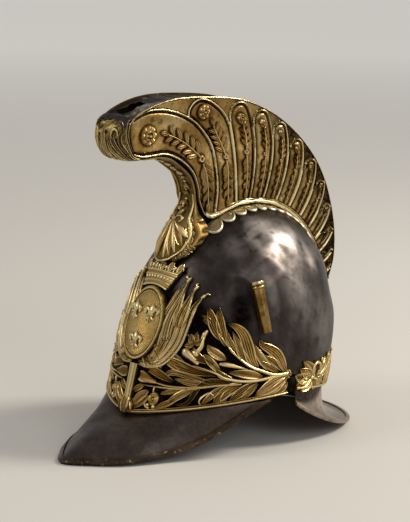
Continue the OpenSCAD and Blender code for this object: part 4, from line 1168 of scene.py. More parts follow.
# %% Stems and lilies
STEMS = [
    (WIRE, [2.2, 1.8, 1.4, 0.9], STEM_RISE,
     [(88, 84), (80, 85), (72, 91), (65, 97), (58, 107), (52, 118), (46, 131)]),
    (WIRE, [2.2, 2.0, 1.6, 1.0], STEM_RISE,
     [(88, 84), (78, 83), (68, 82), (60, 83.5), (53, 87), (48, 92), (40, 97), (35, 99)]),
    (WIRE, [1.2, 1.6, 1.3, 1.0], STEM_RISE, [(62, 80), (50, 80), (40, 78), (25, 78), (16, 80)]),
    (WIRE, [1.0, 1.4, 1.2, 0.8], STEM_RISE, [(40, 76.5), (25, 76), (8, 76)]),
]
LILIES = [
    (CUPPED, [1.8, 2.8, 4.6, 6.2, 5.2], [2.6, 3.2, 3.6, 3.4, 2.4],
     [(16, 80.5), (12, 82), (8, 83.5), (4, 84.5)]),
    (FLUTED, [1.4, 3.6, 4.4, 3.0], [2.0, 3.4, 3.4, 2.0], [(26, 83), (21, 86.5), (15, 90.5), (10, 92)]),
    (LEAF, [1.6, 3.0, 3.4, 2.4, 1.2], [3.0, 3.6, 3.4, 2.4],
     [(46, 83), (38, 87), (30, 91), (24, 91.5), (21.5, 88), (24, 84)]),
    leaf(LEAF, 2.4, (45, 81), (35, 83), (26, 86)),
    (FLUTED, [1.6, 3.2, 5.0, 6.0, 4.4], [2.4, 3.2, 3.8, 3.6, 2.4],
     [(49, 90.5), (38, 93.5), (29, 98), (21.5, 102.5)]),
    (LEAF, [2.2, 3.6, 3.6, 1.0], [2.4, 3.6, 3.4, 1.6], [(30, 101), (25, 106), (21, 108.5), (18, 107)]),
    leaf(LEAF, 2.2, (36, 93), (30, 96), (26, 101), (25.5, 108)),
    (WIRE, [2.2, 3.4, 4.4, 4.4, 1.6], [2.4, 3.6, 4.4, 4.2, 1.8],
     [(38, 101), (33.5, 107.5), (30, 112), (28, 114.5)]),
    (FLUTED, [1.4, 3.4, 4.8, 3.4], [2.2, 3.2, 3.4, 2.4], [(46, 101), (40, 105), (36, 109), (33, 114)]),
    leaf(LEAF, 2.6, (33, 120), (32, 125), (31, 130)),
    leaf(LEAF, 2.4, (34, 120), (34.5, 126), (34.5, 132)),
    leaf(LEAF, 2.4, (34, 120), (31, 118.5), (28.5, 118)),
    leaf(LEAF, 2.2, (34, 120), (36.5, 122), (38.5, 126)),
    (WIRE, [2.6, 3.0, 2.0, 1.4], [2.6, 3.8, 3.4, 2.8], [(35.5, 111), (38, 117), (38.5, 124), (39.5, 131)]),
    (WIRE, [1.6, 3.2, 1.8], [2.8, 4.2, 2.8], [(37.5, 125), (38.6, 129), (40, 133)]),
    (WIRE, [2.0, 3.4, 2.4], [2.8, 4.0, 2.8], [(34, 113), (35.5, 111), (37, 109)]),
]
print("stems and lilies:", len(STEMS) + len(LILIES))

# %% Fan of leaves
FAN = [
    leaf(LEAF, 2.6, (50, 93), (46, 100), (42, 107), (39.5, 110.5)),
    leaf(LEAF, 3.2, (52, 105), (47, 110), (43, 115), (41, 120)),
    leaf(FLUTED, 3.8, (48, 124), (43.5, 136), (40.5, 147), (38, 155)),
    leaf(LEAF, 1.6, (42, 139), (39, 144), (35, 147)),
    leaf(LEAF, 1.5, (42, 136), (39, 141), (36, 143)),
    leaf(FLUTED, 3.4, (51, 118), (47.5, 133), (45.5, 146), (44, 156)),
    leaf(FLUTED, 4.2, (70, 91), (65.5, 103), (62.5, 116), (59.5, 128), (55, 136), (49.5, 139.5)),
    leaf(LEAF, 2.8, (66, 97), (60, 109), (56.5, 121), (53.5, 132)),
    leaf(LEAF, 2.4, (60, 105), (54.5, 116), (51, 127), (49, 138)),
    leaf(LEAF, 2.9, (77, 90), (72, 100), (68, 110), (65.5, 119)),
    leaf(FLUTED, 3.6, (87, 85), (83.5, 95), (79.5, 105), (74.5, 112), (70, 117), (69, 123)),
    leaf(LEAF, 2.3, (84, 88), (79, 97), (74, 103), (71, 107)),
    leaf(LEAF, 2.0, (82, 86.5), (76, 94), (71, 99), (68, 101.5)),
    (WIRE, [1.0, 1.6, 2.6, 2.8, 1.4], [1.8, 2.8, 3.4, 3.4, 1.8],
     [(64, 94), (58, 97.5), (53, 100), (49, 101)]),
    leaf(LEAF, 3.2, (73, 84.5), (66, 88.5), (60, 91), (54, 92)),
    leaf(LEAF, 2.2, (58, 84), (52, 89), (49, 93), (46.5, 98)),
]
print("leaves of the fan:", len(FAN))

# %% Lower leaves
LOWER = [
    (FLUTED, [1.0, 2.4, 3.2, 3.2, 2.8, 2.4, 1.8, 0.6], LEAF_RISE,
     [(61, 80.5), (52, 83.5), (45, 84), (41, 80), (38.5, 72), (37, 65), (34, 61), (30, 61)]),
    leaf(LEAF, 3.0, (38, 76), (32, 71), (27, 64), (23, 55.5)),
    leaf(LEAF, 2.8, (55, 78), (50, 74), (46, 67), (43, 61)),
    (WIRE, [0.9, 1.4, 1.4, 0.8], [2.6, 3.0, 2.8, 2.0],
     [(49, 70), (46.5, 73), (43.5, 69.5), (42, 65), (43, 61.5)]),
    leaf(FLUTED, 4.4, (62, 79.5), (56, 75), (52, 68), (49.5, 61)),
    leaf(LEAF, 2.6, (58, 78), (55, 71), (54, 65), (54, 61.5)),
    leaf(FLUTED, 3.6, (69, 79), (64, 74), (60, 68), (58, 62.5)),
    leaf(LEAF, 2.8, (71, 79), (67.5, 73), (65, 68), (64, 63.5)),
    leaf(FLUTED, 5.6, (88, 82), (81, 77), (75, 71), (71, 65.5)),
    leaf(LEAF, 3.4, (88, 80), (84, 74), (80, 69.5), (77, 67)),
    leaf(LEAF, 3.0, (88.5, 76), (87, 71.5), (85, 68.5), (83, 67)),
    leaf(LEAF, 3.4, (12, 71), (8, 65), (4, 59), (-1, 53.5)),
    leaf(LEAF, 2.6, (13, 66), (10, 61), (7, 56), (3, 51.5)),
    leaf(LEAF, 2.4, (8, 75.5), (4, 71), (1, 67)),
    leaf(LEAF, 2.0, (20, 70), (25, 72.5), (29, 75), (34, 77)),
    leaf(LEAF, 2.4, (30, 66), (26, 62), (21, 57.5), (17, 53.5)),
    (WIRE, [1.2, 1.8, 1.4], [2.4, 3.4, 2.6], [(11, 59), (12.5, 56), (15, 54.5)]),
    (WIRE, [1.0, 1.5, 1.0], [2.2, 3.0, 2.2], [(15.5, 75.5), (15.5, 73), (15.5, 70.5)]),
]
print("lower leaves:", len(LOWER))

# %% Side bands
band = leaf_work(on_band, STEMS + FAN + LILIES + LOWER)
band.append(rosette(on_band, (16 * MM_PER_DEG, 64), 7.2, 4, 3.2))
band.append(bead(on_band, (13 * MM_PER_DEG, 57.5), 2.2))
band.append(bead(on_band, (17 * MM_PER_DEG, 56.5), 2.4))
band.append(bead(on_band, (27.5 * MM_PER_DEG, 103.5), 1.6, 2.6))
band.append(rosette(on_band, (88.5 * MM_PER_DEG, 83), 5.0, 5, 4.2))
build_pair("band_leaves", band, gilt, "band")

# %% Moulding under the bands
MOULDING = profile([(-1, 0), (-0.98, 0.45), (-0.7, 0.5), (-0.5, 0.3), (-0.3, 0.75), (0.05, 1), (0.45, 0.95),
                    (0.75, 0.6), (0.8, 0.35), (1, 0.3), (1, 0)])


def on_skull(p, q):
    """Chart of the skull by true angle and height."""
    return skull_pt(p / MM_PER_DEG, q, 0)


low_edge = [(a * MM_PER_DEG, float(edge_z(a)) + 0.3) for a in np.linspace(-88.5, 88.5, 37)]
build("lower_moulding", [ribbon(on_skull, low_edge, 2.0, 3.0, MOULDING, 145, low=0.3)], gilt, "band_moulding")

# %% [markdown]
# Round the back runs a band of acanthus. One leaf is a midrib leaf with three lobes on each side,
# each side lobe shorter than the last; the band repeats it, with a small leaf and a bead between each
# two. A knot of leaves over each ear hides where the bands meet.

# %% Acanthus leaf
def acanthus(chart, foot, tip, width, rise=3.0):
    """A fluted leaf with three pairs of side lobes that curl outwards."""
    foot, tip = np.array(foot, float), np.array(tip, float)
    way = tip - foot
    side = np.array([way[1], -way[0]]) / np.linalg.norm(way)
    parts = [ribbon(chart, [foot, foot + way * 0.5, tip], [0.2 * width, 0.3 * width, 0.26 * width, 0.1],
                    [rise, rise * 1.15, rise, 1.0], FLUTED, 14, low=0.0)]
    for i, (start, out, up) in enumerate(((0.05, 0.5, 0.22), (0.25, 0.46, 0.32), (0.48, 0.36, 0.34))):
        for sign in (-1, 1):
            root = foot + way * start
            bend = root + way * up * 0.75 + sign * side * width * out * 0.6
            end = root + way * up + sign * side * width * out * 1.05
            parts.append(ribbon(chart, [root, bend, end], [0.1 * width, 0.17 * width, 0.12 * width, 0.1],
                                [rise * 0.6, rise, rise * 0.85, 0.8], LEAF, 10, low=0.0))
    return parts


# %% Rear acanthus band
REAR_FROM, REAR_STEP = 94.0, 21.5
rear_a = np.linspace(REAR_FROM + 0.5, 360 - REAR_FROM - 0.5, 241)
rear_t = np.linspace(0, 1, 9)[:, None]
rear_top = 80 + 5 * np.abs(np.sin(np.radians((rear_a - REAR_FROM) * 180 / REAR_STEP)))
rear_z = mix(edge_z(rear_a) + 1.2, rear_top, rear_t)
ground = 1.2 * np.sqrt((1 - (2 * rear_t - 1) ** 8).clip(0)) + 0 * rear_z
sheet = slab(skull_pt(rear_a, rear_z, 0.3 + ground), skull_pt(rear_a, rear_z, 0.05))
rear = [(*sheet, np.full(len(sheet[0]), 0.85))]
rim = [(a * MM_PER_DEG, float(edge_z(a)) + 2.8) for a in np.linspace(95, 265, 35)]
rear.append(ribbon(on_skull, rim, 1.7, 2.6, WIRE, 137, low=0.3))
for i in range(1, 7):
    centre = REAR_FROM + REAR_STEP * (i + 0.5)
    base = float(edge_z(centre)) + 5
    rear += acanthus(on_skull, (centre * MM_PER_DEG, base), (centre * MM_PER_DEG, 89), 31, 2.4)
    seam = (REAR_FROM + REAR_STEP * i) * MM_PER_DEG
    rear.append(ribbon(on_skull, [(seam, base + 1), (seam, 70), (seam, 84)], [2.4, 2.6, 1.8, 0.3],
                       [2.8, 3.0, 2.4, 1.0], LEAF, 12, low=0.2))
    rear.append(bead(on_skull, (seam, 86), 2.2, 2.4))
rear += [bead(on_skull, (a * MM_PER_DEG, 71.5), 2.8, 3.2) for a in (107, 253)]
print("rear parts so far:", len(rear))

# %% Knots over the ears
KNOT = [
    leaf(RIMMED, 4.6, (107, 72.5), (103.5, 82), (97, 92)),
    leaf(FLUTED, 4.2, (105.5, 72.5), (101, 78), (95.5, 85)),
    leaf(CUPPED, 4.8, (105, 72), (98.5, 74.5), (92.5, 79)),
    leaf(FLUTED, 4.4, (105, 71), (99.5, 70), (94.5, 67)),
    leaf(RIMMED, 4.4, (106, 70), (103, 65), (99, 61.5)),
    leaf(LEAF, 4.2, (108, 69), (110, 63), (111, 57)),
    leaf(RIMMED, 4.6, (109, 70), (115, 66), (119, 60)),
    (WIRE, [1.4, 1.9, 1.9, 1.3], [2.6, 3.2, 3.2, 2.4],
     [(108.5, 72), (105.8, 81), (108.6, 86), (113, 82), (113.5, 73)]),
    leaf(CUPPED, 4.0, (112, 70), (116, 76), (121.5, 82), (123, 90)),
    leaf(LEAF, 3.4, (112, 72), (117, 80), (118.5, 88)),
]
for rows in (KNOT, [(s, h, r, [(360 - a, z) for a, z in path]) for s, h, r, path in KNOT]):
    rear += leaf_work(on_skull, rows, low=0.3)
build("rear_acanthus", rear, gilt, "rear_band")

# %% [markdown]
# ## Front trophy
# An oval shield with three fleurs-de-lis stands before a trophy of flags, under a crown. Everything
# over the brow uses the chart of side place and height.

# %% Shield
SHIELD_W, SHIELD_H, SHIELD_Z = 25.4, 35.5, 135.5
FOOT_Z = CROWN_Z - 46.5


def shield_d(r):
    """Height of the shield off the skull by share of its radius: rim bead, groove, domed field."""
    rim = 1.5 * half_round(r, 0.955, 0.045)
    inner = 0.5 * half_round(r, 0.865, 0.02)
    return 6.3 + rim + inner + ramp((0.9 - r) / 0.03) * (0.4 + 1.6 * (1 - (r / 0.9) ** 2).clip(0))


def on_shield(p, q):
    """Chart of the shield's face."""
    r = np.hypot(p / SHIELD_W, (q - SHIELD_Z) / SHIELD_H)
    return front_pt(p, q, shield_d(r))


shield_a = np.radians(np.linspace(0, 360, 96, endpoint=False))
rim_r, field_r = np.linspace(0.985, 0.82, 18), np.linspace(0.78, 0.02, 16)
shield_r = np.concatenate([[1.0, 1.0, 0.995], rim_r, field_r])[:, None]
sx, sz = SHIELD_W * shield_r * np.cos(shield_a), SHIELD_Z + SHIELD_H * shield_r * np.sin(shield_a)
d = shield_d(shield_r) + 0 * sx
d[0], d[1] = 2.2, 4.8
face = front_pt(sx, sz, d)
under = front_pt(sx * 0.985, SHIELD_Z + (sz - SHIELD_Z) * 0.985, np.minimum(d - 1.1, 5.0).clip(1.2))
worn_r = [0.8, 0.84, 0.865, 0.89, 0.905, 0.93, 0.96, 0.99, 1.0]
shield_wear = np.interp(shield_r, worn_r, [0, 0.25, -0.3, 0.6, 0.6, 0, -0.5, 0, 0.9]) + 0 * sx
shield = part_with_shade_and_wear(slab(face, under, wrap=True, cap=True), shield_wear, 1)


build("shield_plate", [shield], engraved, "shield")


# %% Lilies of the shield
def lily(chart, x, z, width, height):
    """A fleur-de-lis: a tall petal, two that curl over, a band and three short tails."""
    w, h = width / 2, height / 2
    parts = [ribbon(chart, [(x, z - 0.1 * h), (x, z + 0.4 * h), (x, z + h)],
                    [0.2 * w, 0.5 * w, 0.42 * w, 0.05], [2.0, 3.4, 3.0, 1.0], WIRE, 10, low=-0.2),
             ribbon(chart, [(x - 0.5 * w, z - 0.18 * h), (x + 0.5 * w, z - 0.18 * h)], 0.12 * h, 3.2, WIRE, 4,
                    low=-0.2),
             ribbon(chart, [(x, z - 0.3 * h), (x, z - 0.6 * h), (x, z - h)], [0.2 * w, 0.26 * w, 0.05],
                    [1.8, 1.8, 0.5], LEAF, 7, low=-0.2)]
    for s in (-1, 1):
        parts.append(ribbon(chart, [(x + s * 0.16 * w, z - 0.1 * h), (x + s * 0.5 * w, z + 0.42 * h),
                                    (x + s * 0.92 * w, z + 0.3 * h), (x + s * 0.86 * w, z - 0.08 * h)],
                            [0.16 * w, 0.26 * w, 0.3 * w, 0.16 * w], [2.0, 3.2, 3.2, 2.0], WIRE, 10,
                            low=-0.2))
        parts.append(ribbon(chart, [(x + s * 0.14 * w, z - 0.3 * h), (x + s * 0.5 * w, z - 0.6 * h),
                                    (x + s * 0.74 * w, z - 0.5 * h)],
                            [0.14 * w, 0.18 * w, 0.05], [1.4, 1.8, 0.6], WIRE, 7, low=-0.2))
    return parts


lily_places = ((-11.5, 146), (11.5, 146), (0, 118.5))
lilies = [part for x, z in lily_places for part in lily(on_shield, x, z, 16, 19)]
build("shield_lilies", lilies, trophy_gilt)

# %% Crown
crown_s = np.linspace(-1, 1, 81)
crown_t = np.linspace(0, 1, 29)[:, None]
crown_x = crown_s * mix(SHIELD_W - 8.4, SHIELD_W - 2, crown_t)
crown_low = SHIELD_Z + SHIELD_H + 0.9 - 3.5 * crown_s ** 2
crown_high = FOOT_Z - 8.5 - 1.5 * crown_s ** 2
crown_z = mix(crown_low, crown_high, crown_t)
rolls = (1.3 * bell(crown_t, 0.06, 0.06) + 0.9 * bell(crown_t, 0.32, 0.05)
         + 1.0 * bell(crown_t, 0.68, 0.06) + 1.2 * bell(crown_t, 0.95, 0.06))
crown_d = 5.4 - 1.0 * crown_t + 0.9 * rolls + 0 * crown_x


def on_crown_band(p, q):
    """Chart over the crown's face."""
    return front_pt(p, q, 4.4)


sheet = slab(front_pt(crown_x, crown_z, crown_d), front_pt(crown_x, crown_z, 0.6))
crown = [part_with_shade_and_wear(sheet, (0.35 - 0.75 * rolls + 0 * crown_x).clip(-0.6, 1), 1)]
for i, s in enumerate(np.linspace(-1, 1, 9)):
    x, root = s * (SHIELD_W - 4.5), FOOT_Z - 10 - 1.5 * s * s
    if i % 2 == 0:
        lean = 2.4 * s
        crown.append(ribbon(on_crown_band, [(x, root), (x + 0.5 * lean, root + 5), (x + lean, root + 10.5)],
                            [1.4, 2.6, 3.0, 0.3], [1.4, 2.0, 2.0, 0.8], LEAF, 10, low=-0.4))
        for side in (-1, 1):
            crown.append(ribbon(on_crown_band, [(x, root + 1), (x + side * 2.8 + 0.4 * lean, root + 5),
                                                (x + side * 4 + 0.4 * lean, root + 3.6)],
                                [0.8, 1.6, 0.5], [1.0, 1.8, 0.8], LEAF, 8, low=-0.4))
    else:
        crown.append(bead(on_crown_band, (x, root + 4.4), 2.1, 2.0))
        crown.append(ribbon(on_crown_band, [(x, root - 0.5), (x, root + 3)], [1.2, 0.8], 1.2, WIRE, 4,
                            low=-0.4))
for s in np.linspace(-0.88, 0.88, 9):
    crown.append(bead(on_crown_band, (s * (SHIELD_W - 5), 179.2 - 2.4 * s * s), 1.7, 1.6, 12, low=0.0))
build("crown_over_shield", crown, trophy_gilt, "crown")

# %% [markdown]
# The flags hang in folds behind the shield. Each is a fluted ribbon; the poles end in points above.

# %% Flags
FOLD = profile([(-1, 0), (-0.9, 0.8), (-0.66, 0.95), (-0.5, 0.45), (-0.34, 0.9), (-0.1, 0.7), (0.06, 1),
                (0.24, 0.5), (0.45, 0.95), (0.7, 0.8), (0.9, 0.85), (1, 0)])
DRAPES = [
    (FOLD, [2.6, 4.0, 4.6, 5.0, 4.6, 1.0], [1.6, 2.4, 2.6, 2.6],
     [(2, 97), (9, 102), (13.5, 117), (15, 135), (14.5, 152), (17.5, 172)]),
    (FOLD, [3.0, 4.8, 5.6, 6.0, 5.4, 0.8], [1.8, 2.8, 3.0, 2.8],
     [(3, 97), (12, 102), (18, 118), (20, 135), (20, 152), (22, 176)]),
    (FOLD, [3.0, 4.4, 5.0, 5.2, 4.6, 0.8], [2.0, 3.0, 3.4, 3.0],
     [(5, 96), (15, 101), (22, 118), (24, 135), (25.5, 152), (28, 168.5)]),
    (FOLD, [2.8, 3.6, 4.4, 4.4, 3.6, 0.8], [2.2, 3.4, 3.8, 3.4],
     [(8, 95), (18, 100.5), (25, 117), (27.5, 135), (29.5, 149), (33, 162)]),
    (FLUTED, [2.0, 3.0, 3.4, 2.6, 0.8], [2.0, 3.4, 3.6, 2.6], [(9, 99), (14.5, 109), (17.5, 122), (19, 135)]),
    (WIRE, [1.1, 1.1], [4.0, 4.2], [(19.5, 156), (21, 166), (23, 179)]),
    (WIRE, [1.1, 1.1], [4.0, 4.2], [(25, 152), (27, 162), (29, 171.5)]),
    (WIRE, [1.1, 1.1], [4.0, 4.0], [(29.5, 147), (32, 156), (34.5, 164.5)]),
    (WIRE, [1.0, 2.4, 0.8], [4.0, 4.6, 2.6], [(21.5, 176.5), (22.8, 178.5), (24, 180.5)]),
    (WIRE, [0.8, 1.2, 0.6], [3.4, 4.0, 2.6], [(22, 179), (20.5, 180.5), (21, 182)]),
    (WIRE, [1.0, 2.4, 0.8], [4.0, 4.6, 2.6], [(27.6, 169.5), (29, 171.5), (30.4, 173)]),
    (WIRE, [0.8, 1.2, 0.6], [3.4, 4.0, 2.6], [(29.5, 172), (28.5, 174.5), (30, 175.5)]),
    (WIRE, [1.0, 2.2, 0.8], [3.8, 4.4, 2.4], [(33, 162.5), (34.6, 164.2), (36, 165.4)]),
    (WIRE, [0.8, 1.2, 0.6], [3.2, 3.8, 2.4], [(35, 164), (36.5, 166.5), (38.5, 165.5)]),
    (FOLD, [0.8, 2.6, 4.2, 4.6], [3.2, 3.8, 3.8, 3.4], [(22.6, 177), (17, 160), (12.5, 140), (11, 115.5)]),
    (FOLD, [0.8, 2.8, 4.4, 4.6], [3.4, 4.2, 4.2, 3.8], [(22.8, 176), (20, 160), (16.5, 141), (16, 122.5)]),
    (FOLD, [0.8, 2.6, 3.4, 3.4], [3.8, 4.4, 4.6, 4.2], [(28.4, 170), (25, 157), (22.5, 146), (22, 135.5)]),
    (FOLD, [0.8, 2.0, 2.4, 1.6], [3.8, 4.4, 4.4, 3.8], [(33.4, 162), (30, 154), (28.5, 145), (28, 138)]),
    (WIRE, [0.7, 0.7], [4.9, 4.6], [(24.6, 152), (24.9, 136), (20.2, 134.6), (19.6, 123), (15.4, 121.8),
                                    (14.6, 117), (10.8, 114.2)]),
    (WIRE, [0.7, 0.7], [3.8, 3.8], [(4.2, 101.8), (7.6, 94)]),
    (WIRE, [0.7, 0.7], [4.0, 4.0], [(8, 105), (12.2, 97.5)]),
    (WIRE, [0.7, 0.7], [4.2, 4.2], [(11.4, 110.2), (15.2, 102.5)]),
    (LEAF, [1.4, 1.8, 1.4], [2.6, 3.2, 2.6], [(1, 97.5), (8, 99), (15, 106)]),
    (LEAF, [1.4, 1.8, 1.4], [2.8, 3.4, 2.8], [(4, 105), (10, 98), (18, 95.5)]),
    (WIRE, [1.0, 1.4, 0.8], [2.6, 3.0, 2.0], [(2, 94.5), (9, 93.5), (16, 96.5)]),
]
flags = leaf_work(on_band, DRAPES, low=0.3)
build_pair("flag_folds", flags, trophy_gilt, "flags")


# %% Centre stem
def on_brow(p, q):
    """Chart over the brow by side place and height."""
    return front_pt(p, q, 0)


STEM_SHAPE = profile([(-1, 0), (-0.95, 0.8), (-0.6, 0.9), (-0.42, 0.6), (-0.2, 1), (0.2, 1), (0.42, 0.6),
                      (0.6, 0.9), (0.95, 0.8), (1, 0)])
stem = [ribbon(on_brow, [(0, 94.5), (0, 76), (0, 57)], [5.4, 4.8, 4.4], [3.6, 4.0, 4.2], STEM_SHAPE, 24,
               low=0.5),
        ribbon(on_brow, [(0, 61), (0, 54), (0, 46)], [4.4, 5.6, 3.0], [5.0, 6.2, 5.4], FLUTED, 14, low=0.5)]
for s in (-1, 1):
    stem.append(ribbon(on_brow, [(0, 58), (s * 5, 54), (s * 8, 48)], leaf_of(2.6), [4.6, 5.8, 4.4], LEAF, 12,
                       low=0.5))
build("centre_stem", stem, gilt, "stem")

# %% [markdown]
# ## Ends of the comb
# The comb closes at the front in a nose of foliage between its two side plates. The nose is a sheet
# whose points lie between an edge line and a middle line, by the cosine of their turn. What is left
# of a torn iron cap covers its top.

# %% Nose chart
NOSE_EDGE = [(-125, 63.6), (-134.8, 67.1), (-140, 76), (-142.8, 84.4), (-143, 92.2), (-140.8, 100.2),
             (-136.8, 103.3)]
NOSE_MID = [(-132, 60.5), (-143, 66), (-150, 74), (-153.5, 83.5), (-153, 93), (-148.5, 101.5), (-141, 107)]
NOSE_W, NOSE_ROW = 20.5, 7.6
nose_edge, nose_mid = np.array(NOSE_EDGE) + CREST, np.array(NOSE_MID) + CREST


def nose_pt(b, u, d):
    """Point of the nose at turn b in degrees and share u up it, d in front of its surface."""
    b, u, d = np.broadcast_arrays(np.radians(b), np.asarray(u, float), d)
    c = np.cos(b)[..., None]
    line = mix(spline(nose_edge, u), spline(nose_mid, u), c)
    return np.stack([(NOSE_W + d) * np.sin(b), line[..., 0] - d * c[..., 0], line[..., 1]], -1)


def on_nose(p, q):
    """Chart of the nose: mm round it and mm up it."""
    return nose_pt(np.degrees(p / NOSE_W), q / NOSE_ROW, 0.5)


# %% Front terminal
nose_b = np.linspace(-90, 90, 91)
nose_u = np.linspace(0, 6, 71)[:, None]
flat_nose = nose_pt(nose_b, nose_u, 0)
lumps = (1.2 * ripple(flat_nose, 7, 21) + 0.7 * ripple(flat_nose, 3.5, 25)) * ramp(nose_u) * ramp(6 - nose_u)
lumps *= np.cos(np.radians(nose_b)).clip(0) ** 0.5
sheet = slab(nose_pt(nose_b, nose_u, 0.2 + lumps), nose_pt(nose_b, nose_u, -1.2))
nose = [part_with_shade_and_wear(sheet, (0.15 - 0.8 * lumps).clip(-0.5, 0.8), 0.8)]
CURLS = [
    (LEAF, [1.6, 2.4, 2.8, 2.2, 0.6], [1.6, 2.0, 2.0, 1.2],
     [(27, 4), (25, 12), (21, 20), (22, 27), (26, 31)]),
    (FLUTED, [1.4, 2.4, 3.0, 2.4, 0.5], [1.6, 2.2, 2.2, 1.2],
     [(21, 3), (18, 11), (14, 18), (12, 25), (15, 31)]),
    (LEAF, [1.2, 2.2, 2.4, 0.5], [1.6, 2.0, 1.8, 1.0], [(14, 3), (10, 10), (6.5, 16), (5, 25)]),
    (WIRE, [1.0, 1.5, 1.4, 0.9], [1.6, 2.0, 1.8, 1.2], [(19, 26), (16, 31), (11.5, 31), (10, 26), (13, 23)]),
    (WIRE, [1.2, 1.2], [1.5, 1.5], [(31, 2), (31.5, 12), (31.5, 24), (31, 36), (30, 42)]),
    (WIRE, [0.9, 0.9], [1.1, 1.1], [(28.5, 2), (29, 12), (29, 24), (28.5, 35)]),
    (LEAF, [1.0, 1.8, 1.6, 0.5], [1.4, 1.8, 1.6, 1.0], [(25, 30), (22, 35), (17, 37), (13, 35)]),
]
for rows in (CURLS, [(s, h, r, [(-p, q) for p, q in path]) for s, h, r, path in CURLS]):
    for shape, half, rise, path in rows:
        nose.append(ribbon(on_nose, path, half, rise, shape, 5 * len(path), low=-0.3))
nose.append(ribbon(on_nose, [(0, 4), (0, 14), (0, 24), (0, 31)], [1.4, 2.8, 3.0, 0.5], [1.6, 2.2, 2.0, 1.2],
                   FLUTED, 22, low=-0.3))
build("terminal_foliage", nose, crusted, "comb_terminal")

# %% Iron cap
cap_b = np.linspace(-86, 86, 87)
cap_u = np.linspace(4.0, 6.0, 41)[:, None]
cap_front = nose_pt(cap_b, cap_u, 1.5 + 0.5 * ripple(nose_pt(cap_b, cap_u, 0), 12, 22))
cell = (cap_front[:-1, :-1] + cap_front[1:, 1:]) / 2
middle = (1 - (cell[..., 0] / NOSE_W) ** 2).clip(0)
torn_off = cell[..., 2] < CROWN_Z + 95 + 9 * middle + 3.0 * ripple(cell, 10, 23) + 1.5 * ripple(cell, 4, 24)
build("terminal_cap", [slab(cap_front, nose_pt(cap_b, cap_u, 0.3), gone=torn_off)], iron)

# %% [markdown]
# The iron channel once held the crest. It lies a little below the plates' outer edge and is torn open
# behind the nose. Cells whose middle lies inside the torn outline are left out, and the metal round
# the hole is bent up.

# %% Channel surface and tear
TORN = np.array([(-15, -127), (-1, -131), (5, -121), (1, -113), (4, -104), (-7, -101), (-13, -109),
                 (-10, -117)], float)
CHANNEL_DROP = 2.6


def from_outline(points, outline):
    """Distance from a closed outline in the plane: negative inside."""
    a, b = outline, np.roll(outline, -1, axis=0)
    gap, d = points[..., None, :] - a, b - a
    t = ((gap * d).sum(-1) / (d * d).sum(-1)).clip(0, 1)
    far = np.linalg.norm(gap - t[..., None] * d, axis=-1).min(-1)
    spans = (a[:, 1] > points[..., 1, None]) != (b[:, 1] > points[..., 1, None])
    at = a[:, 0] + d[:, 0] * gap[..., 1] / np.where(d[:, 1] == 0, 1e-9, d[:, 1])
    odd = (spans & (points[..., 0, None] < at)).sum(-1) % 2 == 1
    return np.where(odd, -far, far)


def channel_pt(s, u, deep):
    """Point of the channel at side share s and comb share u, deep mm under its outer face."""
    s, u = np.broadcast_arrays(s, u)
    v = 1 - (CHANNEL_DROP + deep + 1.4 * (1 - s * s)) / spoke_len(u)
    return np.concatenate([(s * (half_t(u, v) - COMB_WALL - FIT))[..., None], spoke(u, v)], -1)


# %% Top channel
channel_s = np.linspace(-1, 1, 49)
channel_u = np.concatenate([np.linspace(0.6, 4, 90), np.linspace(4.05, 22, 330)])[:, None]
flat_channel = channel_pt(channel_s, channel_u, 0)
tear = from_outline(flat_channel[..., :2], TORN)
tear = tear + 1.2 * ripple(flat_channel, 7, 31) + 0.6 * ripple(flat_channel, 3, 32)
bent = 1.4 * np.exp(-(tear.clip(0) / 3.0))
bent = bent + 0.5 * ripple(flat_channel, 22, 33) + 0.25 * ripple(flat_channel, 5, 34)
bent *= ramp((1 - np.abs(channel_s)) * 6)
channel_top = channel_pt(channel_s, channel_u, -bent)
open_cells = (tear[:-1, :-1] + tear[1:, 1:] + tear[:-1, 1:] + tear[1:, :-1]) / 4 < 0
from_crust = ((flat_channel[..., 0] - 12) / 10) ** 2 + ((flat_channel[..., 1] + 109) / 17) ** 2
crust = ramp(1.6 - from_crust) * ramp(0.7 + 1.5 * ripple(flat_channel, 8, 35) + ripple(flat_channel, 3, 36))
crust = np.maximum(crust, 0.6 * ramp(3 * ripple(flat_channel, 12, 37) - 0.9))
channel = slab(channel_top, channel_pt(channel_s, channel_u, 1.0 - bent), gone=open_cells)
build("crest_channel", [part_with_shade_and_wear(channel, 0.1 - 0.7 * crust, 1)], iron, "comb_channel")

# %% [markdown]
# The throat plate closes the comb's underside. It comes down from the nose, narrows to a waist and
# spreads over the brow in a foot with a palmette. Its rows hold the half width, then y and height at
# the edge and at the middle. Its sheet has a raised hem along both sides, and small flutes at the
# foot's rim. A chart by arc length carries its leaves.

# %% Throat surface
FOOT_ROWS = [(9, 1.4, -45.5, 1.4, -46.5), (12, 4, -43.5, 14.2, -45.5), (17.5, 1.2, -40.5, 18.5, -41.5),
             (22, 1.1, -35, 21, -36), (24.5, 2.2, -28, 25.2, -28.5), (22, 2.7, -19, 32.2, -19),
             (17, 19.2, -9.5, 44.5, -9), (15.2, 67, 0, 79.5, 1)]
UPPER_ROWS = [(13, -46.4, 11, -48.6, 10), (13.2, -48.2, 25.5, -47.6, 24), (14.2, -55, 39, -53.5, 37.5),
              (15.4, -69.5, 51, -67, 48), (16.6, -83, 59.3, -81, 56), (17.6, -96, 62.6, -95, 59.5),
              (18, -110, 62.8, -109, 59.8), (18, -123, 62.8, -122.5, 59.8)]


def before_brow(x, height, gap):
    """The y that lies gap in front of the skull at side place x and height over the crown's datum."""
    return float(front_pt(x, CROWN_Z + height, 0)[..., 1]) - gap


throat_rows = np.array(
    [(w, before_brow(w, he, ge), he, before_brow(0, hm, gm), hm) for w, ge, he, gm, hm in FOOT_ROWS]
    + UPPER_ROWS)
THROAT_END = len(throat_rows) - 1


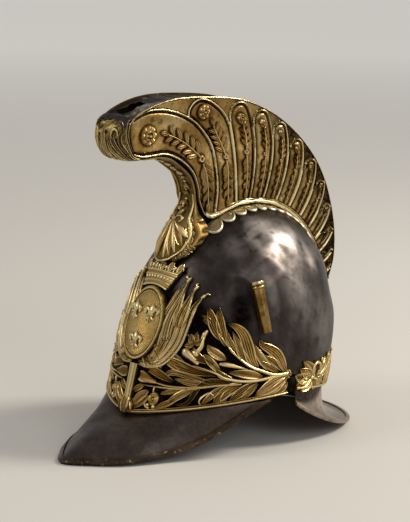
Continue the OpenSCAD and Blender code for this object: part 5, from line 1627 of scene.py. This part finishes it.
def throat_pt(s, u, inset=0.0, lift=0.0):
    """Point of the throat plate at side share s and row u. inset and lift give its inner face."""
    s, u = np.broadcast_arrays(np.asarray(s, float), np.asarray(u, float))
    p = spline(throat_rows, u)
    b = mix(1 - np.abs(s) ** 3, np.sqrt((1 - s * s).clip(0)), ramp((8 - u) / 2))
    back_by = lift * ramp((13 - u) / 4) * ramp(u)
    up_by = lift * (ramp((u - 9) / 4) + 1 - ramp(u))
    return np.stack([s * (p[..., 0] - inset), mix(p[..., 1], p[..., 3], b) + back_by,
                     CROWN_Z + mix(p[..., 2], p[..., 4], b) + up_by], -1)


fine_u = np.linspace(0, THROAT_END, 301)
throat_q = np.concatenate([[0], np.cumsum(np.linalg.norm(np.diff(throat_pt(0, fine_u), axis=0), axis=1))])


def on_throat(p, q):
    """Chart of the throat plate: mm across it and mm up its middle."""
    u = np.interp(q, throat_q, fine_u)
    return throat_pt((p / spline(throat_rows, u)[..., 0]).clip(-0.999, 0.999), u)


def q_of(u):
    """Arc length up the middle at row u."""
    return float(np.interp(u, fine_u, throat_q))


print("throat plate up its middle in mm:", q_of(THROAT_END))

# %% Throat sheet
throat_s = np.sin(np.radians(np.linspace(-90, 90, 73)))
throat_u = np.linspace(0, THROAT_END, 241)[:, None]
throat_front = throat_pt(throat_s, throat_u)
wide = spline(throat_rows, throat_u[:, 0])[:, :1]
from_side = (1 - np.abs(throat_s)) * wide
hem = 1.3 * bell(from_side, 1.2, 0.7)
hem += 0.3 * ripple(throat_front, 14, 41) * ramp(from_side / 3)
hem *= ramp(throat_u * 2) * ramp((THROAT_END - throat_u) * 2)
flute = np.sin(7.0 * throat_u + 1.1 * from_side) * ramp((0.9 - from_side) * 3) * ramp((7.5 - throat_u) / 2)
throat_front = throat_front + normals(throat_front) * (hem + 0.35 * flute)[..., None]
sheet = slab(throat_front, throat_pt(throat_s, throat_u, 1.0, 1.2))
# Painted shade: the whole sheet is darkened, more on the foot's flanks, and a dark line runs just inside each
# hem as a groove's shade; the hems and flute crests are made lighter.
sheet_shade_and_wear = 0.6 + 0.35 * ramp((8 - throat_u) / 2) * ramp(2 - from_side) - 0.6 * hem.clip(0)
sheet_shade_and_wear = sheet_shade_and_wear + 0.5 * bell(from_side, 2.9, 0.7) - 0.4 * flute
throat = [part_with_shade_and_wear(sheet, sheet_shade_and_wear.clip(-0.5, 0.9), 0.8)]
print("throat sheet:", throat_front.shape[:2], "highest hem in mm:", hem.max().round(2))


# %% Palmette of the foot
def from_rim(u, inset):
    """Point of the chart inset mm inside the foot's rim, at row u."""
    return (float(spline(throat_rows, u)[0]) - inset, q_of(u))


border = [from_rim(u, inset) for u, inset in ((8.6, 3.4), (7.2, 3.4), (6.2, 3.8), (5.3, 4.2), (4.4, 4.6),
                                              (3.5, 5.0), (2.7, 5.6), (2.1, 6.4), (1.6, 7.0))]
border = np.array(border + [(0, q_of(1.25))] + [(-x, z) for x, z in border[::-1]])
throat.append(ribbon(on_throat, border, 1.0, 2.2, WIRE, 110, low=-0.2))
FOCUS = q_of(6.3)
rib_end = along(border, 33)[7:26]
for i, end in enumerate(rib_end[::2]):
    way = np.array([0, FOCUS]) - end
    end = end + way / np.linalg.norm(way) * 2.6
    start = np.array([0.12 * end[0], FOCUS - 1.0])
    throat.append(ribbon(on_throat, [start, start + (end - start) * 0.5, end], [0.5, 1.5, 2.6, 2.3, 0.8],
                         [1.4, 2.0, 2.8, 2.6, 1.6], CUPPED if i % 2 else WIRE, 16, low=-0.2))
for side in (-1, 1):
    for u, turn, size in ((5.8, 160, 7), (5.2, 164, 7.5), (4.6, 168, 7.5), (4.0, 170, 7.5), (3.4, 174, 7.5),
                          (2.8, 182, 7), (2.2, 192, 6)):
        x, z = from_rim(u, 3.8)
        throat.append(small_leaf(on_throat, (side * x, z), side * turn, size, 3.8, 1.8))
    x, z = from_rim(6.6, 3.0)
    throat.append(ribbon(on_throat, [(side * x, z), (side * (x + 2.4), z - 6), (side * (x + 1), z - 12)],
                         [0.8, 1.6, 0.6], [1.4, 2.4, 1.4], LEAF, 12, low=-0.2))
throat.append(ring(on_throat, (0, FOCUS + 1), 2.6, 2.6))
for side in (-1, 1):
    throat.append(ribbon(on_throat, [(0, FOCUS + 2), (side * 5, FOCUS + 5), (side * 8, FOCUS + 1),
                                     (side * 6.4, FOCUS - 3)],
                         [0.7, 1.2, 1.2, 0.7], [1.8, 2.4, 2.2, 1.4], WIRE, 18, low=-0.2))
    throat.append(small_leaf(on_throat, (side * 1.5, FOCUS + 4), side * 22, 10, 3.8))
print("throat parts so far:", len(throat))

# %% Husks up the throat
drop = q_of(12.5)
while drop > FOCUS + 15:
    size = 0.75 + 0.25 * math.sin(drop)
    throat.append(bead(on_throat, (0, drop), 1.5 * size + 0.4, 2.2))
    for side in (-1, 1):
        throat.append(small_leaf(on_throat, (side * 0.8, drop - 1), 180 - side * 32, 8.5 * size, 3.6))
    throat.append(small_leaf(on_throat, (0, drop - 2), 180, 8 * size, 3.2))
    drop -= 9.5
build("throat_plate", throat, gilt, "comb_throat")

# %% [markdown]
# Pale brass flanges run along both sides of the comb's foot. Their outer edge is a row of lobes with
# raised ends, large at the front and small behind.

# %% Lappet flanges
LAPPET_FROM, LAPPET_TO, LAPPET_LONG = -0.49, 0.87, 1.36
lappet_q = np.linspace(LAPPET_FROM, LAPPET_TO, 601)
fade = ((lappet_q - LAPPET_FROM) / LAPPET_LONG).clip(0, 1)
turn = (lappet_q - LAPPET_FROM) * mix(1150, 1650, fade)
lobes = np.abs(np.sin(np.radians(turn))) ** 0.55
scallop = 20.5 + 2.0 * fade + (10.5 - 6.5 * fade) * lobes
tuck = ramp((-0.34 - lappet_q) / 0.08)
lappet_t = np.concatenate([np.linspace(0, 0.4, 14), np.linspace(0.45, 1, 12)])[:, None]
lappet_x = mix(scallop, COMB_FOOT - 1.5 + tuck, lappet_t)
from_edge = (scallop - lappet_x) * lobes
raised = 0.9 * bell(from_edge, 1.0, 0.7) * ramp(from_edge * 3)
raised += 0.5 * ripple(np.stack([lappet_x, lappet_q * 100 + 0 * lappet_x, 0 * lappet_x], -1), 9, 45)
lappet_front = crown_pt(lappet_x, lappet_q, FIT + 1.3 + raised)[:, ::-1]
lappet_wear = (-0.15 - 0.6 * raised)[:, ::-1].clip(-0.6, 0.3)
lappets = part_with_shade_and_wear(slab(lappet_front, crown_pt(lappet_x, lappet_q, FIT)[:, ::-1]), lappet_wear, 1)
build_pair("lappet_flange", [lappets], pale_brass, "lappets", crease=45)

# %% [markdown]
# ## Plume socket
# A tapered brass tube with a ring and a rolled collar. A profile of places along the axis and radii
# is turned round the axis; it runs up the outside and back down the bore, so the tube is closed.

# %% Plume tube
plume_foot, plume_top = skull_pt(70.5, 130, 8.6), skull_pt(64, 179.5, 10.4)
plume_len = float(np.linalg.norm(plume_top - plume_foot))
plume_axis = (plume_top - plume_foot) / plume_len
TURN_STEPS = 56


def turned(outline, foot, axis, around):
    """A closed outline of (place along, radius) turned round an axis in so many steps."""
    first = np.cross(axis, [0, 0, 1.0])
    first /= np.linalg.norm(first)
    second = np.cross(axis, first)
    a = np.linspace(0, 2 * math.pi, around, endpoint=False)
    way = np.cos(a)[:, None] * first + np.sin(a)[:, None] * second
    t, r = np.array(outline, float).T
    points = foot + t[:, None, None] * axis + r[:, None, None] * way
    i, j = np.arange(len(t))[:, None], np.arange(around)
    k, m = (j + 1) % around, (i + 1) % len(t)
    quads = np.stack([i * around + j, i * around + k, m * around + k, m * around + j], -1).reshape(-1, 4)
    return points.reshape(-1, 3), quads, np.zeros((0, 3), int)


def taper(t):
    """Outside radius of the tube's wall at a place along it."""
    return 4.5 + 1.7 * t / plume_len


PLUME_FOOT = [(0, 4.2), (0.4, 4.5), (0.5 * plume_len, taper(0.5 * plume_len))]
COLLAR = [(-7.8, taper(plume_len - 7.8)), (-7.4, 6.5), (-6.6, 6.75), (-5.6, 6.75), (-5.0, 6.4), (-4.6, 6.15),
          (-3.6, 6.2), (-3.3, 6.9), (-2.4, 7.0), (-0.9, 7.0), (-0.2, 6.8), (0, 6.4), (-0.4, 6.0), (-6, 5.1),
          (-16, 3.7)]
PLUME = PLUME_FOOT + [(plume_len + t, r) for t, r in COLLAR] + [(8, 3.4), (0.2, 3.5)]
PLUME_WEAR = [0.3, 0.2, 0.1, 0.1, 0.7, 0.2, -0.2, 0.1, 0.8, 0.8, 0.2, -0.4, -0.4, -0.5, -0.5, 1, 1, 1, 1, 1]
plume = (*turned(PLUME, plume_foot, plume_axis, TURN_STEPS), np.repeat(PLUME_WEAR, TURN_STEPS))
build("plume_socket", [plume], comb_gilt, "plume_tube", crease=40)

# %% [markdown]
# ## Lining
# A brown leather sweatband runs inside the rim. Above it the lining rises in eight tongues. Leather
# is not a metal: about 1.5 refractive index, dull, with a fine pebbled grain and darker worn places.

# %% Leather
def leather(name, shades, grain_mm):
    """Vegetable tanned leather with pebbled grain."""
    material = bpy.data.materials.new(name)
    material.use_nodes = True
    tree = material.node_tree
    shader = tree.nodes["Principled BSDF"]
    place = (add(tree, "TexCoord"), "Object")
    stains = add(tree, "TexNoise", {"Scale": per_metre(28), "Detail": 4.0}, {"Vector": place})
    stops = [(0.3 + 0.2 * i, code) for i, code in enumerate(shades)]
    colour = add(tree, "ValToRGB", None, {0: (stains, 0)}, stops)
    tree.links.new(colour.outputs[0], shader.inputs["Base Color"])
    pebbles = add(tree, "TexVoronoi", {"Scale": per_metre(grain_mm)}, {"Vector": place})
    relief = add(tree, "Bump", {"Strength": 0.5, "Distance": 0.3 * MM}, {"Height": (pebbles, 0)})
    tree.links.new(relief.outputs[0], shader.inputs["Normal"])
    shader.inputs["Roughness"].default_value = 0.62
    return material


sweat_hide = leather("sweatband_leather", ["#2A170C", "#44291A", "#5C3B26"], 1.1)
liner_hide = leather("liner_leather", ["#3A2416", "#573923", "#6E4C32"], 0.9)
print("materials made:", len(bpy.data.materials))

# %% Sweatband and liner
BAND_IN, LEATHER, BAND_HIGH = -4.5, 2.0, 34.0
lining_a = np.arange(0, 360, 1.5)
band_t = np.linspace(0, 1, 19)[:, None]
band_z = edge_z(lining_a) + 2 + BAND_HIGH * band_t
creases = 0.25 * ripple(skull_pt(lining_a, band_z, 0), 16, 51)
build("sweatband_strip", [slab(skull_pt(lining_a, band_z, BAND_IN + 0 * band_z),
                               skull_pt(lining_a, band_z, BAND_IN - LEATHER - creases), wrap=True)],
      sweat_hide, "sweatband", crease=60)
tongue_top = 138 + 50 * np.abs(np.cos(np.radians(4 * lining_a))) ** 0.7
tongue_t = np.linspace(0, 1, 31)[:, None]
tongue_z = mix(edge_z(lining_a) + BAND_HIGH - 4, tongue_top, tongue_t)
sag = 0.5 * ripple(skull_pt(lining_a, tongue_z, 0), 40, 52) * ramp(tongue_t * 3)
tongue_d = BAND_IN - LEATHER - FIT - 4 * tongue_t - 0.5 - sag
build("liner_tongues", [slab(skull_pt(lining_a, tongue_z, tongue_d),
                             skull_pt(lining_a, tongue_z, tongue_d - 1.5), wrap=True)], liner_hide, "liner",
      crease=60)

# %% Fixings
for name, finish in (("lappet_rivets", pale_brass), ("visor_rivets", visor_steel),
                     ("neck_rivets", neck_steel), ("band_pins", gilt), ("trophy_pins", gilt),
                     ("plume_plate", gilt)):
    nodes[name].data.materials.clear()
    nodes[name].data.materials.append(finish)
    print(name, "takes", finish.name)

# %% [markdown]
# ## Floor, light and camera
# A pale floor, three soft lamps and a pale world. The far floor adds a little of its own colour for
# camera and mirror rays, so it stays as pale as the lit floor round the helmet. The camera stands where
# the photograph's stood: 48 degrees round to the wearer's left, 12 degrees up, 1.86 m away.

# %% Floor
FLOOR_HALF = 40.0
stage_paint = bpy.data.materials.new("pale_studio_paint")
stage_paint.use_nodes = True
paint_tree = stage_paint.node_tree
paint = paint_tree.nodes["Principled BSDF"]
paint.inputs["Base Color"].default_value = linear("#D2CFCA")
paint.inputs["Roughness"].default_value = 0.9
paint.inputs["Emission Color"].default_value = linear("#E2E0DB")
spot = add(paint_tree, "TexCoord")
reach = add(paint_tree, "VectorMath", {"operation": "LENGTH"}, {0: (spot, "Object")})
far_glow = add(paint_tree, "MapRange", {1: 0.6, 2: 5.0, 3: 0.0, 4: 0.4}, {0: (reach, "Value")})
ray = add(paint_tree, "LightPath")
seen = add(paint_tree, "Math", {"operation": "MAXIMUM"},
           {0: (ray, "Is Camera Ray"), 1: (ray, "Is Glossy Ray")})
seen = add(paint_tree, "Math", {"operation": "MAXIMUM"}, {0: (seen, 0), 1: (ray, "Is Transmission Ray")})
glow = add(paint_tree, "Math", {"operation": "MULTIPLY"}, {0: (far_glow, 0), 1: (seen, 0)})
paint_tree.links.new(glow.outputs[0], paint.inputs["Emission Strength"])
floor_mesh = bpy.data.meshes.new("studio_floor")
corners = [(x * FLOOR_HALF, y * FLOOR_HALF, 0) for x, y in ((-1, -1), (1, -1), (1, 1), (-1, 1))]
floor_mesh.from_pydata(corners, [], [(0, 1, 2, 3)])
floor_mesh.materials.append(stage_paint)
floor = bpy.data.objects.new("studio_floor", floor_mesh)
bpy.context.scene.collection.objects.link(floor)
floor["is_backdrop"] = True
print("floor, metres across:", 2 * FLOOR_HALF)

# %% World and lamps
world = bpy.data.worlds.new("studio_world")
bpy.context.scene.world = world
world.use_nodes = True
tree = world.node_tree
tree.nodes["Background"].inputs["Color"].default_value = linear("#D8D6D2")
tree.nodes["Background"].inputs["Strength"].default_value = 0.6


def lamp(name, place, aim, size, power, colour):
    """A square soft lamp that looks at a point."""
    data = bpy.data.lights.new(name, "AREA")
    data.shape = "RECTANGLE"
    data.size, data.size_y = size
    data.energy = power
    data.color = linear(colour)[:3]
    light = bpy.data.objects.new(name, data)
    light.location = place
    light.rotation_euler = (Vector(aim) - Vector(place)).to_track_quat("-Z", "Y").to_euler()
    bpy.context.scene.collection.objects.link(light)
    print(name, "at", place, "with", power, "watts")


lamp("key_soft", (0.95, 1.55, 1.55), (0, 0, 0.2), (0.5, 0.65), 40, "#FFF6E8")
lamp("side_soft", (2.1, -0.2, 1.3), (0, 0, 0.2), (1.1, 1.1), 9, "#FFFFFF")
lamp("front_soft", (-0.5, -1.8, 1.6), (0, 0, 0.2), (1.0, 1.0), 11, "#FFF8EE")

# %% Camera
PHOTO_EL, DISTANCE, SENSOR = 12.0, 1860.0, 36
TARGET = np.array([0, -23, 186.0])
az, el = math.radians(PHOTO_AZ), math.radians(PHOTO_EL)
back = np.array([math.sin(az) * math.cos(el), -math.cos(az) * math.cos(el), math.sin(el)])
right = np.array([math.cos(az), math.sin(az), 0])
up = np.cross(back, right)
axes = TILT @ np.stack([right, up, back], 1)
camera_data = bpy.data.cameras.new("photo_camera")
camera_data.sensor_width = SENSOR
PIXELS_PER_MM, LONG_SIDE = 0.974, 522
camera_data.lens = SENSOR * PIXELS_PER_MM * DISTANCE / LONG_SIDE
camera = bpy.data.objects.new("photo_camera", camera_data)
matrix = np.eye(4)
matrix[:3, :3], matrix[:3, 3] = axes, to_room(TARGET + back * DISTANCE)
camera.matrix_world = Matrix(matrix)
bpy.context.scene.collection.objects.link(camera)
bpy.context.scene.camera = camera
bpy.context.scene.view_settings.view_transform = "Standard"
print("lens in mm:", round(camera_data.lens, 1))

# %% Sizes
low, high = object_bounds()
print("grown past the solids in mm:", [round((a - b) * 1000, 2) for a, b in zip(cad_low, low)],
      [round((a - b) * 1000, 2) for a, b in zip(high, cad_high)], "seconds:", round(time.time() - started, 1))
